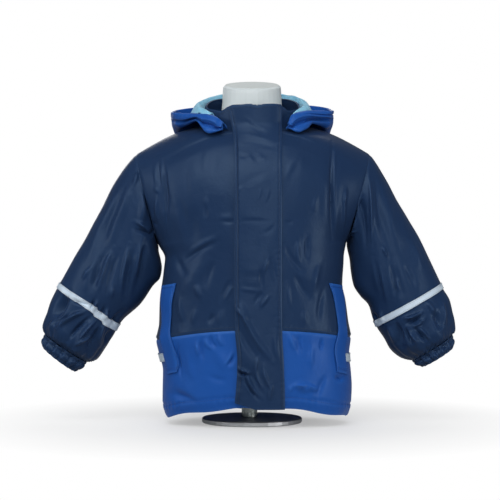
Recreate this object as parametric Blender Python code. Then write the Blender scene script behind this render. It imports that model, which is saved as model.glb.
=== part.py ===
"""A kids raincoat, size 98/104, hanging on a limbless child dress form with a short pole stand.

Every panel of the coat is a thin wall of coated cloth. Its outer points come from short tables of
sections in millimetres: the body from rows that run from the hem up to the shoulder seam, the sleeves
from rings between the armhole and the cuff, the hood from sections that fan round the neck.
Right and left are the wearer's. The front faces -Y, the wearer's left is +X, up is +Z, and the origin
is under the pole, at the middle of the stand's base.
"""
import math

import bmesh
import bpy
import numpy as np

MM = 0.001

# ---------------------------------------------------------------- driving sizes, millimetres
CLOTH = 1.6                 # coated cloth of the coat
FLEECE = 1.8                # hood lining
TAPE = 1.0                  # reflective tape
SEAM = 0.30                 # gap between two pieces at a seam
LIFT = 0.35                 # gap under a piece that lies on a panel

CENTRE_FRONT_X = 7.7        # where the two fronts meet
CENTRE_BACK_X = 5.0
NECK_HALF_WIDTH = 74.0      # neck seam
NECK_HALF_DEPTH = 61.0
NECK_CENTRE = (1.0, -1.0)
NECK_FRONT_Z = 461.0
NECK_SIDE_Z = 472.0
NECK_BACK_Z = 482.0

BLOCK_ROW = 5               # seam between the navy and the blue panels
ARMPIT_ROW = 12
SHOULDER_ROW = 24
FRONT_NECK_ROW = 20         # row at which the centre front meets the neck seam
BACK_NECK_ROW = 21
PANEL_COLUMNS = 9           # columns from the centre line to the side seam
ARMHOLE_STEPS = SHOULDER_ROW - ARMPIT_ROW
SLEEVE_SIDES = 2 * ARMHOLE_STEPS
CUFF_SIDES = 48

BOW_OUT = (0.66, 0.36)      # how far a body row runs straight out from the centre line: low down, shoulder
BOW_IN = (0.62, 0.36)       # how far it runs straight into the side seam or the armhole
SIDE_LEAN = math.radians(5.0)    # the side seams lie in a slight hollow
SIDE_LEAN_ROWS = 3.0        # the hollow runs out over this many rows below the armpit
CENTRE_SWING_ROWS = 3.0     # the centre back swings to the neck's middle over this many rows
SHOULDER_RIDGE = 1.7        # how sharply the shoulder drops towards the armhole
FOLD_END = 0.06             # what is left of a fold at its two ends
MITRE_LIMIT = 0.5           # where cloth folds back on itself, its wall thickens no more than this allows
POINTS_PER_MM = 50.0        # two seam points nearer than one of these steps are one point
PANEL_INSET = 0.75 * SEAM   # each panel's edge is drawn in by this much

RIGHT = -1
LEFT = 1
SIDE_NAMES = {RIGHT: "right", LEFT: "left"}

NAVY = (0.017, 0.036, 0.090)
BLUE = (0.014, 0.085, 0.330)
AQUA = (0.300, 0.560, 0.680)
SILVER = (0.360, 0.420, 0.480)
FORM_WHITE = (0.640, 0.680, 0.690)
STEEL = (0.550, 0.560, 0.580)
BASE_GREY = (0.500, 0.510, 0.530)


def table(names, *rows):
    """A table of sections: one array for each named column."""
    return {name: np.array([row[i] for row in rows], float) for i, name in enumerate(names.split())}


# Centre lines and side seams, from the hem (row 0) upwards.
CENTRE_FRONT = table(
    "row  y       z",
    (0, -113.0, 32.0),
    (5, -108.5, 152.0),
    (12, -105.5, 290.0),
    (15, -103.0, 352.0),
    (17, -97.0, 396.0),
    (19, -79.0, 440.0),
    (20, -62.0, 461.0))
CENTRE_BACK = table(
    "row  y      z",
    (0, 101.0, 14.0),
    (5, 97.0, 134.0),
    (12, 92.0, 290.0),
    (16, 94.0, 372.0),
    (19, 87.0, 432.0),
    (20, 77.0, 458.0),
    (21, 60.0, 482.0))
SIDE_SEAM = {
    RIGHT: table(
        "row  x       y      z",
        (0, -140.0, -18.0, 11.5),
        (1, -142.0, -18.0, 36.0),
        (3, -141.5, -18.0, 84.0),
        (4, -147.5, -18.0, 110.0),
        (5, -152.0, -18.0, 133.5),
        (6, -148.0, -17.0, 157.0),
        (8, -146.5, -15.0, 197.0),
        (10, -141.0, -12.0, 240.0),
        (11, -138.5, -9.0, 262.0),
        (12, -149.5, -2.0, 283.0)),
    LEFT: table(
        "row  x      y      z",
        (0, 155.5, -18.0, 12.0),
        (2, 158.5, -18.0, 60.0),
        (3, 157.0, -18.0, 84.0),
        (4, 154.0, -18.0, 110.0),
        (5, 157.0, -18.0, 138.0),
        (6, 153.0, -17.0, 162.0),
        (8, 148.0, -15.0, 199.0),
        (9, 144.0, -14.0, 219.0),
        (11, 145.8, -9.0, 263.0),
        (12, 150.5, -2.0, 286.0))}

# Sleeve rings from the armhole to the cuff: the outer and the inner side, and the depth front to back.
SLEEVE = {
    RIGHT: table(
        "ring outer_x  outer_z inner_x  inner_z  depth middle_y",
        (0, -185.6, 427.5, -149.5, 283.0, 96.0, -2.0),
        (1, -201.6, 409.0, -149.3, 274.0, 98.0, -2.0),
        (2, -217.6, 385.6, -146.0, 260.0, 98.0, -3.0),
        (3, -233.0, 356.5, -143.8, 246.0, 96.0, -4.0),
        (4, -249.0, 324.5, -147.0, 231.0, 94.0, -5.0),
        (5, -265.6, 294.0, -158.5, 217.5, 92.0, -6.0),
        (6, -284.8, 260.8, -178.0, 189.0, 92.0, -8.0),
        (7, -304.8, 224.5, -205.5, 164.5, 92.0, -9.0),
        (8, -311.0, 213.6, -214.5, 151.0, 92.0, -10.0),
        (9, -322.0, 188.8, -224.0, 135.0, 94.0, -11.0),
        (10, -328.5, 167.5, -236.0, 118.0, 94.0, -12.0),
        (11, -331.0, 152.0, -250.0, 100.5, 84.0, -13.0),
        (12, -329.6, 142.5, -262.0, 97.0, 60.0, -14.0)),
    LEFT: table(
        "ring outer_x  outer_z inner_x  inner_z  depth middle_y",
        (0, 188.5, 427.5, 150.5, 286.0, 96.0, -2.0),
        (1, 201.5, 409.0, 153.0, 274.0, 98.0, -2.0),
        (2, 216.0, 384.0, 156.0, 259.0, 98.0, -3.0),
        (3, 230.5, 356.0, 157.5, 244.5, 96.0, -4.0),
        (4, 246.5, 329.0, 162.0, 219.0, 94.0, -5.0),
        (5, 262.5, 302.0, 173.0, 202.0, 92.0, -6.0),
        (6, 280.5, 266.5, 186.0, 187.0, 92.0, -8.0),
        (7, 299.5, 224.0, 193.0, 164.5, 92.0, -9.0),
        (8, 305.0, 212.5, 199.0, 152.5, 92.0, -10.0),
        (9, 315.8, 193.0, 209.5, 136.0, 94.0, -11.0),
        (10, 320.5, 166.0, 222.0, 117.0, 94.0, -12.0),
        (11, 321.5, 150.0, 236.0, 106.0, 84.0, -13.0),
        (12, 319.0, 141.0, 254.0, 99.0, 60.0, -14.0))}
SLEEVE_RINGS = (0, 1, 2, 3, 4, 5, 6, 7, 8, 9, 10, 10.6, 11.2, 11.6, 12)
SLEEVE_TAPE_RINGS = (7.0, 8.0)

# Cuff casings: elastic gathers them, and they end in an open mouth.
CUFF = {
    RIGHT: table(
        "ring outer_x  outer_z inner_x  inner_z depth middle_y",
        (0, -329.8, 141.5, -262.8, 96.5, 59.6, -14.0),
        (1, -334.0, 132.0, -266.5, 90.0, 62.0, -15.0),
        (2, -334.5, 127.0, -272.5, 85.5, 60.0, -16.0),
        (3, -332.5, 121.0, -281.5, 82.0, 54.0, -17.0)),
    LEFT: table(
        "ring outer_x  outer_z inner_x  inner_z depth middle_y",
        (0, 319.1, 140.1, 254.7, 98.5, 59.6, -14.0),
        (1, 321.5, 131.0, 259.0, 93.0, 62.0, -15.0),
        (2, 321.5, 126.0, 264.5, 91.0, 60.0, -16.0),
        (3, 319.5, 120.0, 271.0, 89.5, 54.0, -17.0))}
CUFF_RINGS = (0, 0.4, 1, 1.6, 2.3, 3)
CUFF_GATHERS = 15
CUFF_GATHER_DEPTH = 1.5
CUFF_GATHER_DRIFT = 1.1     # how far the gathers wander round the cuff on their way down

# Folds of the body panels: from one end to the other, seen from the front or the back.
# A positive rise stands out of the panel, a negative one sinks into it.
FRONT_FOLDS = table(
    "x0      z0     x1      z1     rise  width",
    (-118.0, 345.0, -104.0, 280.0, 3.0, 9.0),
    (-96.0, 350.0, -88.0, 270.0, -2.2, 9.0),
    (-140.0, 400.0, -132.0, 330.0, -4.0, 8.0),
    (-62.0, 270.0, -118.0, 205.0, 2.2, 12.0),
    (-60.0, 130.0, -36.0, 85.0, 2.4, 9.0),
    (-128.0, 60.0, -96.0, 34.0, -3.0, 9.0),
    (127.0, 430.0, 124.0, 300.0, -3.6, 7.0),
    (112.0, 400.0, 116.0, 300.0, 2.4, 9.0),
    (82.0, 425.0, 70.0, 402.0, 1.8, 7.0),
    (60.0, 250.0, 112.0, 215.0, 2.0, 12.0),
    (60.0, 66.0, 100.0, 60.0, 3.0, 7.0),
    (-24.0, 196.0, -4.0, 166.0, 2.0, 7.0),
    (-20.0, 100.0, 14.0, 66.0, -2.6, 8.0))
BACK_FOLDS = table(
    "x0      z0     x1      z1     rise  width",
    (-112.0, 400.0, -104.0, 300.0, -3.4, 9.0),
    (114.0, 400.0, 104.0, 296.0, -3.4, 9.0),
    (-84.0, 300.0, -40.0, 250.0, 2.4, 12.0),
    (92.0, 280.0, 40.0, 236.0, 2.6, 12.0),
    (-110.0, 210.0, -60.0, 190.0, 2.2, 10.0),
    (60.0, 176.0, 112.0, 200.0, 2.0, 10.0),
    (-70.0, 110.0, -52.0, 40.0, 3.0, 12.0),
    (8.0, 100.0, 12.0, 30.0, -2.6, 12.0),
    (84.0, 108.0, 74.0, 36.0, 3.0, 12.0))

# Folds of the sleeves: angle round the sleeve (0 on the outer side, 90 in front, 180 against the body).
SLEEVE_FOLDS = table(
    "angle from_ring to_ring rise width",
    (70.0, 1.5, 6.5, -4.0, 13.0),
    (104.0, 2.5, 7.0, 3.0, 12.0),
    (132.0, 3.0, 7.0, -3.6, 13.0),
    (40.0, 8.0, 12.0, -4.0, 12.0),
    (66.0, 8.6, 12.5, 3.4, 10.0),
    (88.0, 8.0, 12.5, -4.4, 10.0),
    (112.0, 9.0, 12.5, 3.2, 9.0),
    (136.0, 8.6, 12.5, -3.8, 10.0),
    (12.0, 9.6, 12.5, 2.6, 11.0),
    (218.0, 8.4, 12.5, -4.2, 11.0),
    (246.0, 8.8, 12.5, 3.0, 10.0),
    (274.0, 8.2, 12.5, -4.2, 11.0),
    (306.0, 8.8, 12.5, 3.0, 10.0),
    (334.0, 9.0, 12.5, -3.4, 10.0),
    (238.0, 2.0, 7.0, -4.0, 14.0),
    (286.0, 1.5, 6.0, 3.0, 14.0))

# The storm flap, from the hem to the top of the collar: its two edges and how far it stands off.
FLAP = table(
    "z      free_x  sewn_x stand_off",
    (35.6, -26.6, 50.6, 1.0),
    (66.0, -24.0, 50.2, 1.4),
    (84.0, -23.0, 49.4, 1.7),
    (104.0, -22.8, 48.8, 1.6),
    (152.0, -26.2, 46.4, 0.8),
    (230.0, -27.4, 46.0, 0.6),
    (330.0, -27.6, 46.2, 0.7),
    (400.0, -28.0, 46.4, 1.2),
    (452.0, -29.0, 47.0, 0.8),
    (474.0, -33.0, 47.8, 0.6),
    (490.0, -36.0, 47.8, 0.4),
    (502.5, -38.6, 46.8, 0.4))
FLAP_NECK_Z = (436.0, 474.0)     # between these heights the flap bridges from the chest to the collar
FLAP_THROAT_CLEAR = 3.1          # room between the collar and the flap in front of it
FLAP_NECK_BOW = 1.6              # how far it bows out on that bridge
FLAP_HEIGHTS = (35.6, 50.0, 66.0, 84.0, 104.0, 128.0, 152.0, 180.0, 210.0, 240.0, 270.0, 300.0, 330.0,
                360.0, 385.0, 410.0, 428.0, 442.0, 452.0, 462.0, 474.0, 488.0, 502.5)
FLAP_ACROSS = (0.0, 0.15, 0.3, 0.45, 0.6, 0.8, 1.0)

# Pocket welts on each front, by body row and by share of the way to the side seam.
POCKET_WELT = table(
    "row  inner  outer",
    (2.75, 0.600, 0.775),
    (4.2, 0.590, 0.770),
    (6.0, 0.640, 0.810),
    (7.6, 0.625, 0.840),
    (9.0, 0.590, 0.875))
WELT_ROWS = (2.75, 3.2, 3.6, 4.0, 4.5, 5.0, 5.5, 6.0, 6.6, 7.2, 7.8, 8.4, 9.0)
WELT_THICKNESS = 2.0
WELT_LIFT = 3.0 * LIFT
SLEEVE_TAPE_LIFT = 1.5 * LIFT
BACK_TAPE_LIFT = 2.4 * LIFT

BACK_TAPE_ROWS = (3.55, 4.05)    # reflective tape across the lower back

# Collar: height of its top edge round the neck, by turn from the centre front (0) to the back (180).
COLLAR = table(
    "turn  top_z   lean",
    (0, 502.5, 0.5),
    (35, 503.0, 0.0),
    (60, 500.5, -0.5),
    (90, 503.0, -1.5),
    (130, 516.0, -2.0),
    (180, 522.5, -2.0))
COLLAR_TURNS = (0.0, 11.25, 22.5, 33.75, 45.0, 56.25, 67.5, 78.75, 90.0, 105.0, 120.0, 135.0, 150.0, 165.0)
COLLAR_HEIGHTS = (0.0, 0.33, 0.67, 1.0)
COLLAR_BOW = 1.2                 # how far the collar bows out at half its height
COLLAR_GAP = 0.7                 # half the gap between the collar's two front ends

# The hood, dropped back. Each section leaves the neck seam outside the collar, goes up over a crest,
# down into the bag and up again to the rim of the mouth.
HOOD = {
    RIGHT: table(
        "turn   base_z crest_x crest_y crest_z valley_x valley_y valley_z rim_x  rim_y  rim_z",
        (34, 465.0, -44.0, -62.0, 475.0, -48.0, -72.0, 461.0, -46.0, -71.0, 475.0),
        (44, 467.0, -55.0, -54.0, 485.0, -63.0, -68.0, 457.0, -57.5, -67.0, 484.0),
        (54, 469.0, -66.0, -44.0, 492.0, -75.0, -60.0, 462.0, -69.0, -60.0, 488.0),
        (66, 471.0, -74.5, -30.0, 498.0, -88.0, -40.0, 475.0, -87.0, -49.0, 489.5),
        (80, 475.0, -80.5, -13.0, 503.0, -102.0, -14.0, 473.0, -108.0, -28.0, 491.0),
        (95, 478.0, -83.0, 6.0, 508.0, -115.0, 10.0, 471.0, -124.5, -6.0, 494.5),
        (110, 481.0, -80.0, 25.0, 515.5, -120.0, 42.0, 463.0, -131.0, 20.0, 498.0),
        (130, 484.0, -67.0, 47.0, 524.5, -100.0, 90.0, 415.0, -128.0, 68.0, 504.0),
        (155, 486.0, -36.0, 66.0, 531.5, -54.0, 114.0, 372.0, -80.0, 118.0, 508.0),
        (180, 487.0, 1.0, 72.0, 533.5, 2.0, 119.0, 358.0, 2.0, 137.0, 507.0)),
    LEFT: table(
        "turn   base_z crest_x crest_y crest_z valley_x valley_y valley_z rim_x  rim_y  rim_z",
        (42, 466.0, 56.0, -56.0, 476.0, 58.0, -67.0, 464.0, 57.0, -66.0, 477.0),
        (50, 468.0, 64.0, -49.0, 486.0, 70.0, -62.0, 460.0, 62.0, -61.5, 486.5),
        (58, 470.0, 70.0, -41.0, 494.0, 83.0, -54.0, 463.0, 70.0, -56.0, 491.0),
        (68, 472.0, 76.0, -28.0, 500.0, 94.0, -36.0, 474.0, 88.0, -45.0, 495.0),
        (80, 475.0, 81.5, -13.0, 505.0, 106.0, -14.0, 473.0, 108.0, -27.0, 496.0),
        (95, 478.0, 84.5, 6.0, 509.5, 118.0, 10.0, 471.0, 126.0, -6.0, 497.0),
        (110, 481.0, 82.0, 25.0, 516.5, 122.0, 42.0, 463.0, 131.5, 20.0, 500.0),
        (130, 484.0, 68.0, 47.0, 525.5, 102.0, 90.0, 415.0, 129.0, 68.0, 505.0),
        (155, 486.0, 38.0, 66.0, 532.0, 56.0, 114.0, 372.0, 82.0, 118.0, 508.5),
        (180, 487.0, 1.0, 72.0, 533.5, 2.0, 119.0, 358.0, 2.0, 137.0, 507.0))}
HOOD_COLUMNS = 16           # sections from each front corner to the centre back
HOOD_SPACING = 1.15         # above 1 they lie closer together at the front corners
HOOD_STEPS = (0.0, 1.0, 1.9, 2.5, 3.1, 3.9, 4.6, 5.1, 5.5, 5.9, 6.5)   # along a section, by control point
LINING_FROM_TURN = 66.0     # the fleece starts behind the hood's front corners
LINING_SHORT = 0.8          # the fleece ends this much below the casing
HOOD_NECK_CLEAR = 5.3       # from the neck seam to the outside of the hood's foot
CREST_WIDTH = 5.0           # between the two layers at the fold over the neck
CREST_DROP = CLOTH + 1.0    # the fold's control point lies this much under the table's crest
BAG_WIDTH = 16.0            # across the bottom of the bag
ROOMY_REACH = 26.0          # a section that reaches out this far has the bag's full width
RIM_CASING = 13.0           # width of the turned casing at the hood's mouth
RIM_SMALL_SHARE = 0.42      # in the small front corners it takes this share of the section's rise
RIM_THICKNESS = 3.4
RIM_FOOT = 3.0 * SEAM       # the casing starts this much above the cloth that it is sewn to

# Dress form: a plain child figure with no limbs and no other anatomy.
FORM = table(
    "z      half_width half_depth middle_y power",
    (118.0, 60.0, 40.0, 0.0, 2.0),
    (120.0, 78.0, 54.0, 0.0, 2.0),
    (128.0, 94.0, 66.0, 0.0, 2.1),
    (150.0, 104.0, 73.0, 0.0, 2.2),
    (190.0, 106.0, 75.0, 0.0, 2.2),
    (250.0, 98.0, 71.0, 0.0, 2.2),
    (310.0, 102.0, 73.0, -1.0, 2.2),
    (360.0, 112.0, 72.0, -1.0, 2.2),
    (400.0, 118.0, 64.0, 0.0, 2.1),
    (428.0, 117.0, 52.0, 0.0, 2.0),
    (446.0, 108.0, 44.0, 0.0, 2.0),
    (458.0, 94.0, 40.0, 0.0, 2.0),
    (466.0, 78.7, 37.7, 0.0, 2.0),
    (472.0, 65.0, 38.5, 0.0, 2.0),
    (480.0, 54.0, 42.0, 0.0, 2.0),
    (492.0, 49.5, 44.5, 0.0, 2.0),
    (510.0, 47.5, 45.5, 0.0, 2.0),
    (530.0, 46.6, 45.6, 0.0, 2.0),
    (536.0, 46.0, 45.0, 0.0, 2.0),
    (539.0, 43.0, 42.0, 0.0, 2.0))
FORM_SIDES = 32
NECK_TILT = math.radians(13.0)   # the flat top of the neck leans forward
NECK_TILT_FROM_Z = 492.0

POLE_X = -4.0
POLE_RADIUS = 12.5
BASE_RADIUS = 80.0
BASE_HEIGHT = 8.0
ROUND_SIDES = 40
BASE_CHAMFER = 1.5
POLE_CHAMFER = 0.8


# ---------------------------------------------------------------- curves through the tables
def smooth(keys, values, at):
    """Height of a smooth curve through the table's points that never overshoots them."""
    steps = np.diff(keys)
    slopes = np.diff(values) / steps
    tangents = np.zeros(len(keys))
    tangents[0] = slopes[0]
    tangents[-1] = slopes[-1]
    for i in range(1, len(keys) - 1):
        if slopes[i - 1] * slopes[i] > 0.0:
            tangents[i] = 2.0 * slopes[i - 1] * slopes[i] / (slopes[i - 1] + slopes[i])
    at = min(max(at, keys[0]), keys[-1])
    i = min(int(np.searchsorted(keys, at, side="right")) - 1, len(steps) - 1)
    u = (at - keys[i]) / steps[i]
    rest = 1.0 - u
    return ((1.0 + 2.0 * u) * rest * rest * values[i] + u * rest * rest * steps[i] * tangents[i]
            + u * u * (3.0 - 2.0 * u) * values[i + 1] - u * u * rest * steps[i] * tangents[i + 1])


def read(rows, key, name, at):
    return smooth(rows[key], rows[name], at)


def blend(a, b, share):
    return a + (b - a) * share


def unit(vector):
    return vector / max(np.linalg.norm(vector), 1e-9)


def bezier(p0, p1, p2, p3, u):
    rest = 1.0 - u
    return rest ** 3 * p0 + 3 * rest * rest * u * p1 + 3 * rest * u * u * p2 + u ** 3 * p3


def fold_rise(folds, x, z):
    """Height of all folds of a panel at one place: a soft ridge or trough that fades at both ends."""
    rise = 0.0
    for i in range(len(folds["rise"])):
        start = np.array((folds["x0"][i], folds["z0"][i]))
        along = np.array((folds["x1"][i], folds["z1"][i])) - start
        length = np.linalg.norm(along)
        offset = np.array((x, z)) - start
        share = min(max(float(offset @ along) / length ** 2, 0.0), 1.0)
        distance = np.linalg.norm(offset - along * share)
        fade = math.sin(math.pi * min(max(share, FOLD_END), 1.0 - FOLD_END)) ** 0.7
        rise += folds["rise"][i] * fade * math.exp(-(distance / folds["width"][i]) ** 2)
    return rise


# ---------------------------------------------------------------- the coat's surfaces
def neck_seam(turn, side, grow=0.0):
    """A point of the neck seam; turn is 0 at the front and 180 at the back."""
    angle = math.radians(turn)
    x = NECK_CENTRE[0] + side * (NECK_HALF_WIDTH + grow) * math.sin(angle)
    y = NECK_CENTRE[1] - (NECK_HALF_DEPTH + grow) * math.cos(angle)
    if turn <= 90.0:
        z = blend(NECK_FRONT_Z, NECK_SIDE_Z, 1.0 - math.cos(angle))
    else:
        z = blend(NECK_SIDE_Z, NECK_BACK_Z, -math.cos(angle))
    return np.array((x, y, z))


def armhole(side, angle):
    """A point of the armhole seam, which is the sleeve's first ring."""
    return ring_point(SLEEVE[side], 0.0, angle)


def ring_point(rings, ring, angle, grow=0.0):
    """A point of a sleeve or cuff ring; angle 0 is its outer side, 90 its front."""
    values = {name: read(rings, "ring", name, ring) for name in rings if name != "ring"}
    outer = np.array((values["outer_x"], values["middle_y"], values["outer_z"]))
    inner = np.array((values["inner_x"], values["middle_y"], values["inner_z"]))
    across = outer - inner
    radians = math.radians(angle)
    half = 0.5 * np.linalg.norm(across) + grow
    depth = 0.5 * values["depth"] + grow
    return (0.5 * (outer + inner) + unit(across) * half * math.cos(radians)
            + np.array((0.0, -1.0, 0.0)) * depth * math.sin(radians))


def inner_end(side, row, front):
    """Where a body row starts: on the centre line, or past its top on the neck seam."""
    corner = FRONT_NECK_ROW if front else BACK_NECK_ROW
    line = CENTRE_FRONT if front else CENTRE_BACK
    if row <= corner:
        x = CENTRE_FRONT_X if front else CENTRE_BACK_X
        share = max(0.0, (row - corner) / CENTRE_SWING_ROWS + 1.0)
        if not front:
            x = blend(x, NECK_CENTRE[0], share)
        return np.array((x, read(line, "row", "y", row), read(line, "row", "z", row)))
    turn = 90.0 * (row - corner) / (SHOULDER_ROW - corner)
    point = neck_seam(turn if front else 180.0 - turn, side)
    if front:
        shift = (CENTRE_FRONT_X - NECK_CENTRE[0]) * (1.0 - turn / 90.0)
        point[0] += shift
    return point


def outer_end(side, row, front):
    """Where a body row ends: on the side seam, or on the armhole."""
    if row <= ARMPIT_ROW:
        seam = SIDE_SEAM[side]
        return np.array([read(seam, "row", name, row) for name in ("x", "y", "z")])
    turn = 180.0 * (row - ARMPIT_ROW) / ARMHOLE_STEPS
    return armhole(side, 180.0 - turn if front else 180.0 + turn)


def body_point(side, row, share, front):
    """A point of the coat's body, share 0 at the centre line and 1 at the side seam or armhole.

    Folds fade out towards the side seam and over the last four rows below the shoulder.
    """
    start = inner_end(side, row, front)
    end = outer_end(side, row, front)
    up_the_arm = min(max((row - ARMPIT_ROW) / ARMHOLE_STEPS, 0.0), 1.0)
    facing = -1.0 if front else 1.0
    turn = math.radians(90.0 * (1.0 - up_the_arm))
    lean = SIDE_LEAN * min(max((ARMPIT_ROW - 1.0 - row) / SIDE_LEAN_ROWS, 0.0), 1.0)
    wide = abs(end[0] - start[0])
    deep = abs(end[1] - start[1])
    first = blend(BOW_OUT[0], BOW_OUT[1], up_the_arm ** 2) * wide
    last = blend(BOW_IN[0] * deep, BOW_IN[1] * wide, up_the_arm)
    leave = np.array((side * 1.0, 0.0))
    arrive = np.array((side * math.cos(turn + facing * lean), -facing * math.sin(turn + facing * lean)))
    plan = bezier(start[:2], start[:2] + leave * first, end[:2] - arrive * last, end[:2], share)
    level = share * share * (3.0 - 2.0 * share)
    ridge = share ** SHOULDER_RIDGE
    z = blend(start[2], end[2], blend(level, ridge, up_the_arm ** 1.5))
    folds = FRONT_FOLDS if front else BACK_FOLDS
    rise = fold_rise(folds, plan[0], z) * min(1.0, 6.0 * (1.0 - share))
    rise *= min(1.0, 0.25 * (SHOULDER_ROW - row))
    return np.array((plan[0], plan[1] + facing * rise, z))


def sleeve_point(side, ring, angle):
    rise = 0.0
    for i in range(len(SLEEVE_FOLDS["rise"])):
        first = SLEEVE_FOLDS["from_ring"][i]
        last = SLEEVE_FOLDS["to_ring"][i]
        if first < ring < last:
            turn = (angle - SLEEVE_FOLDS["angle"][i] + 180.0) % 360.0 - 180.0
            along = (ring - first) / (last - first)
            rise += (SLEEVE_FOLDS["rise"][i] * math.sin(math.pi * along)
                     * math.exp(-(turn / SLEEVE_FOLDS["width"][i]) ** 2))
    return ring_point(SLEEVE[side], ring, angle, rise)


def sleeve_outward(side, ring, angle):
    step = 0.05
    turn = 2.0
    along = sleeve_point(side, ring + step, angle) - sleeve_point(side, ring - step, angle)
    round_it = sleeve_point(side, ring, angle + turn) - sleeve_point(side, ring, angle - turn)
    normal = unit(np.cross(along, round_it))
    middle = 0.5 * (ring_point(SLEEVE[side], ring, 0.0) + ring_point(SLEEVE[side], ring, 180.0))
    if normal @ (sleeve_point(side, ring, angle) - middle) < 0.0:
        normal = -normal
    return normal


def body_outward(side, row, share, front):
    step = 0.02
    row_step = 0.1
    across = (body_point(side, row, min(share + step, 1.0), front)
              - body_point(side, row, max(share - step, 0.0), front))
    up = body_point(side, row + row_step, share, front) - body_point(side, row - row_step, share, front)
    normal = unit(np.cross(up, across))
    facing = np.array((0.3 * side, -1.0 if front else 1.0, 0.0))
    return normal if normal @ facing > 0.0 else -normal


def row_and_share(x, z):
    """The row and share of the front at which a given x and z lie, found step by step."""
    side = RIGHT if x < CENTRE_FRONT_X else LEFT
    row = 10.0
    share = 0.3
    row_step = 0.2
    share_step = 0.02
    eager = 0.7
    for _ in range(30):
        here = body_point(side, row, share, True)
        up = body_point(side, min(row + row_step, SHOULDER_ROW), share, True)
        out = body_point(side, row, min(share + share_step, 1.0), True)
        rise = (up[2] - here[2]) / row_step
        run = (out[0] - here[0]) / share_step
        row = min(max(row + eager * (z - here[2]) / rise, 0.0), FRONT_NECK_ROW)
        share = min(max(share + eager * (x - here[0]) / run, 0.0), 0.9)
    return side, row, share


# ---------------------------------------------------------------- walls
def smooth_shading(mesh):
    mesh.shade_smooth()
    mesh.set_sharp_from_angle(angle=math.radians(40.0))


def make_object(name, vertices, faces, colour, roughness, metallic=0.0):
    """One named object with its own material, from points in millimetres."""
    mesh = bpy.data.meshes.new(name)
    mesh.from_pydata([tuple(point * MM) for point in vertices], [], faces)
    mesh.validate()
    material = bpy.data.materials.new(name)
    material.use_nodes = True
    shader = material.node_tree.nodes["Principled BSDF"]
    shader.inputs["Base Color"].default_value = (*colour, 1.0)
    shader.inputs["Roughness"].default_value = roughness
    shader.inputs["Metallic"].default_value = metallic
    mesh.materials.append(material)
    smooth_shading(mesh)
    made = bpy.data.objects.new(name, mesh)
    bpy.context.scene.collection.objects.link(made)
    return made


def grid_faces(rows, columns, closed=False):
    faces = []
    last = columns if closed else columns - 1
    for r in range(rows - 1):
        for c in range(last):
            d = (c + 1) % columns
            faces.append((r * columns + c, r * columns + d, (r + 1) * columns + d, (r + 1) * columns + c))
    return faces


class Surface:
    """The outer points of one piece of cloth and its faces, which all point outwards."""

    def __init__(self, points, faces, thickness, colour, roughness=0.45):
        self.points = [np.array(point, float) for point in points]
        self.faces = faces
        self.thickness = thickness
        self.colour = colour
        self.roughness = roughness

    def corner_normals(self):
        """Each face's direction at each of its corners, longer where the corner is wide."""
        for face in self.faces:
            a, b, c, d = (self.points[i] for i in face)
            normal = unit(np.cross(c - a, d - b))
            for k in range(4):
                here = self.points[face[k]]
                before = unit(self.points[face[k - 1]] - here)
                after = unit(self.points[face[(k + 1) % 4]] - here)
                width = math.acos(min(max(float(before @ after), -1.0), 1.0))
                yield face[k], normal, width


def key_of(point):
    return tuple(int(round(value * POINTS_PER_MM)) for value in point)


def shared_normals(surfaces):
    """Mean outward direction at each point, alike for two pieces where they share a seam point."""
    sums = {}
    widths = {}
    for surface in surfaces:
        for i, normal, width in surface.corner_normals():
            key = key_of(surface.points[i])
            sums[key] = sums.get(key, np.zeros(3)) + normal * width
            widths[key] = widths.get(key, 0.0) + width
    return {key: sums[key] / max(widths[key], 1e-6) for key in sums}


def offset_of(mean, distance):
    """The move that puts every face round a point this far along its own direction."""
    return unit(mean) * distance / max(float(np.linalg.norm(mean)), MITRE_LIMIT)


def edge_of(faces):
    """Edges that only one face uses, in the face's own direction."""
    used = {}
    for face in faces:
        for i in range(len(face)):
            a, b = face[i], face[(i + 1) % len(face)]
            used[(a, b)] = True
    return [edge for edge in used if (edge[1], edge[0]) not in used]


def build_wall(name, surface, normals, inset=PANEL_INSET):
    """Closes a surface into a wall: its edge is drawn in a little and its inner side lies a cloth lower."""
    open_edges = edge_of(surface.faces)
    rim = {a for a, _ in open_edges} | {b for _, b in open_edges}
    neighbours = {i: set() for i in rim}
    for face in surface.faces:
        for i in range(len(face)):
            a, b = face[i], face[(i + 1) % len(face)]
            for one, other in ((a, b), (b, a)):
                if one in rim:
                    neighbours[one].add(other)
    along = {frozenset(edge) for edge in open_edges}
    own = shared_normals([surface])
    outer = []
    inner = []
    for i, point in enumerate(surface.points):
        key = key_of(point)
        mean = normals.get(key, own[key])
        moved = point.copy()
        if i in rim:
            moved = moved - unit(own[key]) * 2.0 * inset * (1.0 - np.linalg.norm(mean))
            inward = [other for other in neighbours[i] if frozenset((i, other)) not in along]
            if not inward:
                inward = list(neighbours[i])
            for other in inward:
                moved = moved + unit(surface.points[other] - point) * inset / len(inward) ** 0.5
        outer.append(moved)
        inner.append(moved - offset_of(mean, surface.thickness))
    count = len(outer)
    faces = []
    for a, b, c, d in surface.faces:
        faces += [(a, b, c), (a, c, d), (c + count, b + count, a + count), (d + count, c + count, a + count)]
    for a, b in open_edges:
        if key_of(surface.points[a]) < key_of(surface.points[b]):
            faces += [(b, a, a + count), (b, a + count, b + count)]
        else:
            faces += [(b, a, b + count), (a, a + count, b + count)]
    return make_object(name, outer + inner, faces, surface.colour, surface.roughness)


def oriented(points, faces, outward):
    """Faces turned so that the first one looks the way of outward."""
    a, b, c, d = (np.array(points[i]) for i in faces[len(faces) // 2])
    if np.cross(c - a, d - b) @ outward < 0.0:
        return [tuple(reversed(face)) for face in faces]
    return faces


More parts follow.
